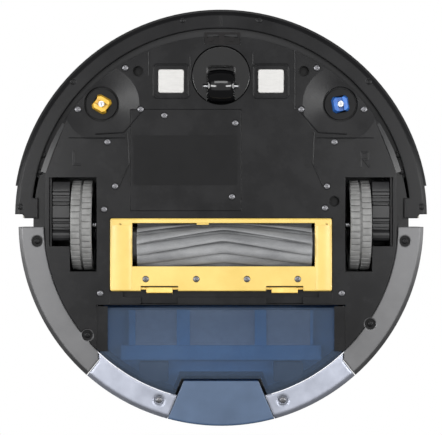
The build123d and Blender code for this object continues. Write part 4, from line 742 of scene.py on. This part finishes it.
low, high = (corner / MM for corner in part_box("roller_vanes"))
radius = (high.z - low.z) / 2
centre = Vector((0, (low.y + high.y) / 2, (low.z + high.z) / 2))
work = bmesh.new()
rings = []
for at in range(VANE_STATIONS + 1):
    along = low.x + VANE_END + (high.x - low.x - 2 * VANE_END) * at / VANE_STATIONS
    reach = (high.x if along > CHEVRON_APEX else low.x) - CHEVRON_APEX
    share = abs((along - CHEVRON_APEX) / reach)
    lag = CHEVRON_DEPTH / radius * (math.sqrt(share * share + 0.003) - math.sqrt(0.003))
    ring = []
    for part, degrees in VANE_SECTION:
        turn = math.radians(-90 + degrees) - lag
        ring.append(work.verts.new(
            Vector((along, part * radius * math.cos(turn), part * radius * math.sin(turn))) * MM))
    rings.append(ring)
for near, far in zip(rings, rings[1:]):
    for point in range(len(VANE_SECTION)):
        after = (point + 1) % len(VANE_SECTION)
        work.faces.new((near[point], near[after], far[after], far[point]))
work.faces.new(rings[0])
work.faces.new(rings[-1])
vane = template(work, "vane", 50)
vanes = grown(ring_tree, "vanes", {
    "Template": vane, "Count": VANE_COUNT, "Centre": centre * MM, "Phase": 0.2, "Material": roller_rubber})
bpy.data.objects.remove(vane)
work = bmesh.new()
shaft_low, shaft_high = (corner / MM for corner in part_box("roller_shaft"))
bore = (shaft_high.z - shaft_low.z) / 2
lathe(work, [(low.x, bore + 0.1), (low.x, ROLLER_CORE * radius), (high.x, ROLLER_CORE * radius),
             (high.x, bore + 0.1)], centre, "X", 48)
bmesh.ops.recalc_face_normals(work, faces=work.faces)
smooth_below(work)
work.from_mesh(vanes)
mesh = bpy.data.meshes.new("chevron_roller")
work.to_mesh(mesh)
work.free()
settle("chevron_roller", mesh, roller_rubber, "main_brush", ("roller_vanes",))

# ---------------------------------------------------------------- springs of the drive arms
SPRING_TURNS = 5.5
WIRE_R = 0.55
for at, (low, high) in enumerate(islands("suspension_springs")):
    centre = (low + high) / 2
    outer = (high.z - low.z) / 2
    mesh = grown(coil_tree, "arm_spring", {
        "Turns": SPRING_TURNS, "Coil Radius": (outer - WIRE_R - 0.05) * MM, "Wire Radius": WIRE_R * MM,
        "Length": (high.x - low.x - 2 * WIRE_R - 0.1) * MM,
        "Start": Vector((low.x + WIRE_R + 0.05, centre.y, centre.z)) * MM, "Material": spring_wire})
    replaced = ("suspension_springs",) if at == 0 else ()
    settle(f"arm_spring_{at + 1}", mesh, None, body_of_node("suspension_springs"),
           replaced)

# ---------------------------------------------------------------- mould lines on the floor plate
BASE_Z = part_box("base_pan")[0].z / MM


def both_sides(line):
    """A line and its mirror image."""
    return [line, [(-x, y, z) for x, y, z in line]]


def arc(centre, radius, start, end, z, steps=10):
    """Points of an arc in the plan, angles in degrees."""
    turns = [math.radians(start + (end - start) * at / steps) for at in range(steps + 1)]
    return [(centre[0] + radius * math.cos(turn), centre[1] + radius * math.sin(turn), z) for turn in turns]


def frame_line(centre, wide, long, z):
    """A closed rectangle round a centre."""
    x, y = centre
    return [(x - wide / 2, y - long / 2, z), (x + wide / 2, y - long / 2, z), (x + wide / 2, y + long / 2, z),
            (x - wide / 2, y + long / 2, z), (x - wide / 2, y - long / 2, z)]


sunk = BASE_Z + 0.12
seams = []
seams += both_sides([(59, 78, sunk), (72, 63, sunk), (93, 62, sunk)])
seams += both_sides([(69, 63, sunk), (68, 40, sunk), (76, 22, sunk)])
seams += both_sides([(71, 59, sunk), (113, 59, sunk)])
seams += [[(53.7, 123, sunk), (53.7, 104, sunk)], [(-54.6, 124, sunk), (-54.6, 80, sunk)]]
seams += [[(22.9, 119, sunk), (22.9, 98, sunk)], [(-23.6, 122, sunk), (-23.6, 113, sunk)]]
mesh = grown(bead_tree, "plate_mould_lines", {"Radius": 0.36 * MM, "Corner": 2.5 * MM, "Material": black_abs},
             lines_mesh(seams))
settle("plate_mould_lines", mesh, None, "chassis")

FRAME_WIDE, FRAME_LONG = 26.4, 25.6
frames = [frame_line(((low.x + high.x) / 2, (low.y + high.y) / 2), FRAME_WIDE, FRAME_LONG, sunk)
          for low, high in islands("charging_contacts")]
mesh = grown(bead_tree, "contact_frames", {"Radius": 0.4 * MM, "Corner": 3.0 * MM, "Material": black_abs},
             lines_mesh(frames))
settle("contact_frames", mesh, None, "chassis")

# the floor plate's round rim, which is centred a little behind the body's own centre
RIM_CENTRE_Y = -4.5
RIM_R = 139.5

# ---------------------------------------------------------------- sloping facets at the front corners
FACET_FRONT = Vector((115.5, 69.0))
FACET_BACK = Vector((129.8, 33.0))
FACET_SLOPE = math.tan(math.radians(35))
FACET_BOW = Vector((0.93, 0.37)) * 0.5  # how far the inner edge bows outwards
FACET_RISE = 5.6
FACET_T = 0.8
FACET_STEPS = 24
FACET_Z = BASE_Z - 0.04
for side_name, sign in (("right", 1), ("left", -1)):
    work = bmesh.new()
    lower, upper = [], []
    for at in range(FACET_STEPS + 1):
        inner = FACET_FRONT.lerp(FACET_BACK, at / FACET_STEPS)
        inner += FACET_BOW * math.sin(math.pi * at / FACET_STEPS)
        from_centre = inner - Vector((0, RIM_CENTRE_Y))
        outer = Vector((0, RIM_CENTRE_Y)) + from_centre.normalized() * (RIM_R - 0.4)
        rise = min((outer - inner).length * FACET_SLOPE, FACET_RISE)
        ends = ((inner, FACET_Z), (outer, FACET_Z + rise))
        for row, lift in ((lower, 0), (upper, FACET_T)):
            row.append([work.verts.new(Vector((sign * spot.x, spot.y, z + lift)) * MM) for spot, z in ends])
    for at in range(FACET_STEPS):
        work.faces.new((*lower[at], *reversed(lower[at + 1])))
        work.faces.new((*upper[at], *reversed(upper[at + 1])))
        for end in (0, 1):
            work.faces.new((lower[at][end], lower[at + 1][end], upper[at + 1][end], upper[at][end]))
    for at in (0, FACET_STEPS):
        work.faces.new((*lower[at], *reversed(upper[at])))
    name = "corner_facet_" + side_name
    settle(name, as_mesh(work, name), facet_abs, "chassis")

# ---------------------------------------------------------------- painted shade: dark cups in the deep screw wells
SHADE_CUP_WALL = 0.35
SHADE_CUP_FLOOR = 0.4


def shade_cups(name, wells):
    """Short dark cups of painted shade, each (x, y, radius, mouth height, depth), that line the wells of sunk
    screws.
    """
    work = bmesh.new()
    for x, y, radius, mouth, depth in wells:
        lathe(work, [(mouth, radius - SHADE_CUP_WALL), (mouth, radius), (mouth + depth, radius),
                     (mouth + depth, 0.01), (mouth + depth - SHADE_CUP_FLOOR, 0.01),
                     (mouth + depth - SHADE_CUP_FLOOR, radius - SHADE_CUP_WALL)], (x, y, 0), "Z", 36)
    settle(name, as_mesh(work, name), hub_black_and_well_shade, "chassis")


DEEP_WELLS = [(61.5, 108.4), (-61.5, 108.4), (-84.0, 12.0)]
shade_cups("deep_well_sleeves", [(x, y, 3.95, BASE_Z + 0.3, 6.0) for x, y in DEEP_WELLS])
skirt_wells = []
for low, high in rim:
    middle = (low + high) / 2
    if middle.y < 0:
        skirt_wells.append((middle.x, middle.y, 4.0, low.z + 0.2, HEAD_T - 0.25))
shade_cups("skirt_well_sleeves", skirt_wells)

# ---------------------------------------------------------------- caster wheel, a polished barrel
low, high = (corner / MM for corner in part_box("caster_wheel"))
centre, half, radius = (low + high) / 2, (high.x - low.x) / 2, (high.z - low.z) / 2
axle_low, axle_high = (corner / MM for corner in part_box("caster_axle"))
bore = (axle_high.z - axle_low.z) / 2 + 0.03
CROWN_DROP = 1.7  # how much lower the crown is at its ends than in its middle
CROWN_TURN = 75
crown = [(half * math.sin(math.radians(turn)),
          radius - CROWN_DROP * (1 - math.cos(math.radians(turn))) / (1 - math.cos(math.radians(CROWN_TURN))))
         for turn in range(-CROWN_TURN, CROWN_TURN + 1, 15)]
work = bmesh.new()
lathe(work, [(-half, bore), (-half, radius - 3.0), (-half + 0.1, radius - 2.2), *crown,
             (half - 0.1, radius - 2.2), (half, radius - 3.0), (half, bore)], centre, "X", 72)
settle("caster_barrel", as_mesh(work, "caster_barrel", 50), caster_gloss, "caster_roller",
       ("caster_wheel",))

# ---------------------------------------------------------------- inside the dust bin
filter_low, filter_high = (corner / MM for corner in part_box("dust_filter"))
# the filter's three windows, left and right ends; the gasket is the bars between them and a ledge behind
RECESSES = [(33.6, 65.0), (-25.6, 23.6), (-67.8, -34.5)]
work = bmesh.new()
edges = [filter_high.x, *[edge for pair in RECESSES for edge in reversed(pair)], filter_low.x]
for outer, inner in zip(edges[0::2], edges[1::2]):
    prism(work, box_outline(inner, outer, filter_low.y, filter_high.y), filter_low.z - 0.6, filter_low.z - 0.05)
LEDGE_HALF = 76
prism(work, box_outline(-LEDGE_HALF, LEDGE_HALF, filter_low.y - 11, filter_low.y - 0.1), filter_low.z - 2.4,
      filter_low.z + 6)
settle("filter_gasket", as_mesh(work, "filter_gasket"), blue_foam, "dust_bin")
LATCH_BOX_X, LATCH_BOX_Y, LATCH_BOX_Z = (40, 62), (-124, -109.5), (40, 57.5)
work = bmesh.new()
for sign in (1, -1):
    prism(work, box_outline(*sorted(sign * x for x in LATCH_BOX_X), *LATCH_BOX_Y, 1), *LATCH_BOX_Z)
round_edges(work, 0.8)
settle("bin_latch_boxes", as_mesh(work, "bin_latch_boxes"), bin_panel, "dust_bin")

# painted highlight: a thin bright bead along the silver trim's inner edge
TRIM_INNER_R = 132.0
trim_z = (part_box("bin_trim")[0] / MM).z + 0.05
highlight_arcs = [arc((0, RIM_CENTRE_Y), TRIM_INNER_R, start, end, trim_z, 16)
        for start, end in ((-43.5, -73.5), (-136.5, -106.5))]
mesh = grown(bead_tree, "trim_rim", {"Radius": 0.42 * MM, "Corner": 0.0, "Material": trim_painted_highlight},
             lines_mesh(highlight_arcs))
settle("trim_rim", mesh, None, "dust_bin")

# ---------------------------------------------------------------- rubber seal round the floor plate's front
# it follows the plate's rim on the inside and the edge of the bumper's lower flange on the outside; the flange
# slides below it when the bumper is pressed
BUMPER_FLANGE_R = 140.5
SEAL_Z = 15.0
SEAL_T = 2.2
SEAL_STEPS = 72
inside = arc((0, RIM_CENTRE_Y), RIM_R - 0.3, 14, 166, 0, SEAL_STEPS)
outside = arc((0, 0), BUMPER_FLANGE_R - 0.1, 12.5, 167.5, 0, SEAL_STEPS)
work = bmesh.new()
prism(work, [(x, y) for x, y, z in outside + inside[::-1]], SEAL_Z, SEAL_Z + SEAL_T)
settle("bumper_dust_seal", as_mesh(work, "bumper_dust_seal"), strip_rubber, "chassis")

# ---------------------------------------------------------------- blank label on the battery door
door_low, door_high = (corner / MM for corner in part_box("battery_door"))
work = bmesh.new()
prism(work, box_outline(-12.0, door_high.x - 2.3, 23.9, 60.8, 1.5), door_low.z - 0.15, door_low.z + 0.05)
settle("blank_label", as_mesh(work, "blank_label"), label_film, "chassis")

# ---------------------------------------------------------------- ribbed covers of the drive gearboxes
# the cover's lower face from front to back: (Y, height above the gearbox's underside)
RIBS = [
    (27.2, 4.6), (26.4, 1.6), (20.6, -1.2), (19.6, -1.2), (19.4, 0.6), (18.8, 0.6), (18.6, -1.2),
    (16.6, -1.2), (16.3, 0.7), (14.7, 0.7), (14.4, -1.2), (11.8, -1.1), (11.4, 0.8), (9.2, 0.8),
    (8.8, -1.3), (-0.2, -1.3), (-1.0, -0.6), (-2.8, -0.6), (-3.2, -1.3), (-3.9, -1.3), (-4.4, 0.8),
    (-7.0, 0.8), (-7.4, -0.5), (-8.5, -0.5), (-8.8, 0.6), (-9.2, 0.6), (-9.8, -0.6), (-11.4, -1.6),
    (-13.2, -1.9), (-15.2, -1.5), (-16.9, -0.3),
]
RIBS_BACK = [(-16.9, 2.2), (24.0, 5.2)]
RIBS_X = (112.3, 125.0)
for side_name, sign in (("right", 1), ("left", -1)):
    node_name, name = "drive_gearbox_" + side_name, "gearbox_cover_" + side_name
    underside = (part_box(node_name)[0] / MM).z
    work = bmesh.new()
    prism(work, [(y, underside + rise) for y, rise in RIBS + RIBS_BACK], *(sign * x for x in RIBS_X), "X")
    round_edges(work, 0.15, 1, 25)
    settle(name, as_mesh(work, name, 20), rib_grey, "drive_arm_" + side_name)

# ---------------------------------------------------------------- raised grips at the ends of the brush cover
cover_low, cover_high = (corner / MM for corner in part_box("brush_cover"))
GRIP_RISE = 0.7
GRIP_STEPS = 12
GRIPS_FROM = (66.2, -69.9)  # the grips start just outside the brush window's ends
HINGE_ROOM = 5.0  # the grips stop short of the hinge, so that the cover can swing open
work = bmesh.new()
for inner, outer in zip(GRIPS_FROM, (cover_high.x - 0.6, cover_low.x + 0.6)):
    outline = [(inner + (outer - inner) * at / GRIP_STEPS,
                cover_low.z - GRIP_RISE * math.sin(math.pi * at / GRIP_STEPS) ** 0.5)
               for at in range(GRIP_STEPS + 1)]
    outline += [(outer, cover_low.z + 0.4), (inner, cover_low.z + 0.4)]
    prism(work, outline, cover_low.y + 0.7, cover_high.y - HINGE_ROOM, "Y")
settle("cover_grips", as_mesh(work, "cover_grips", 50), gold_abs, "brush_guard")
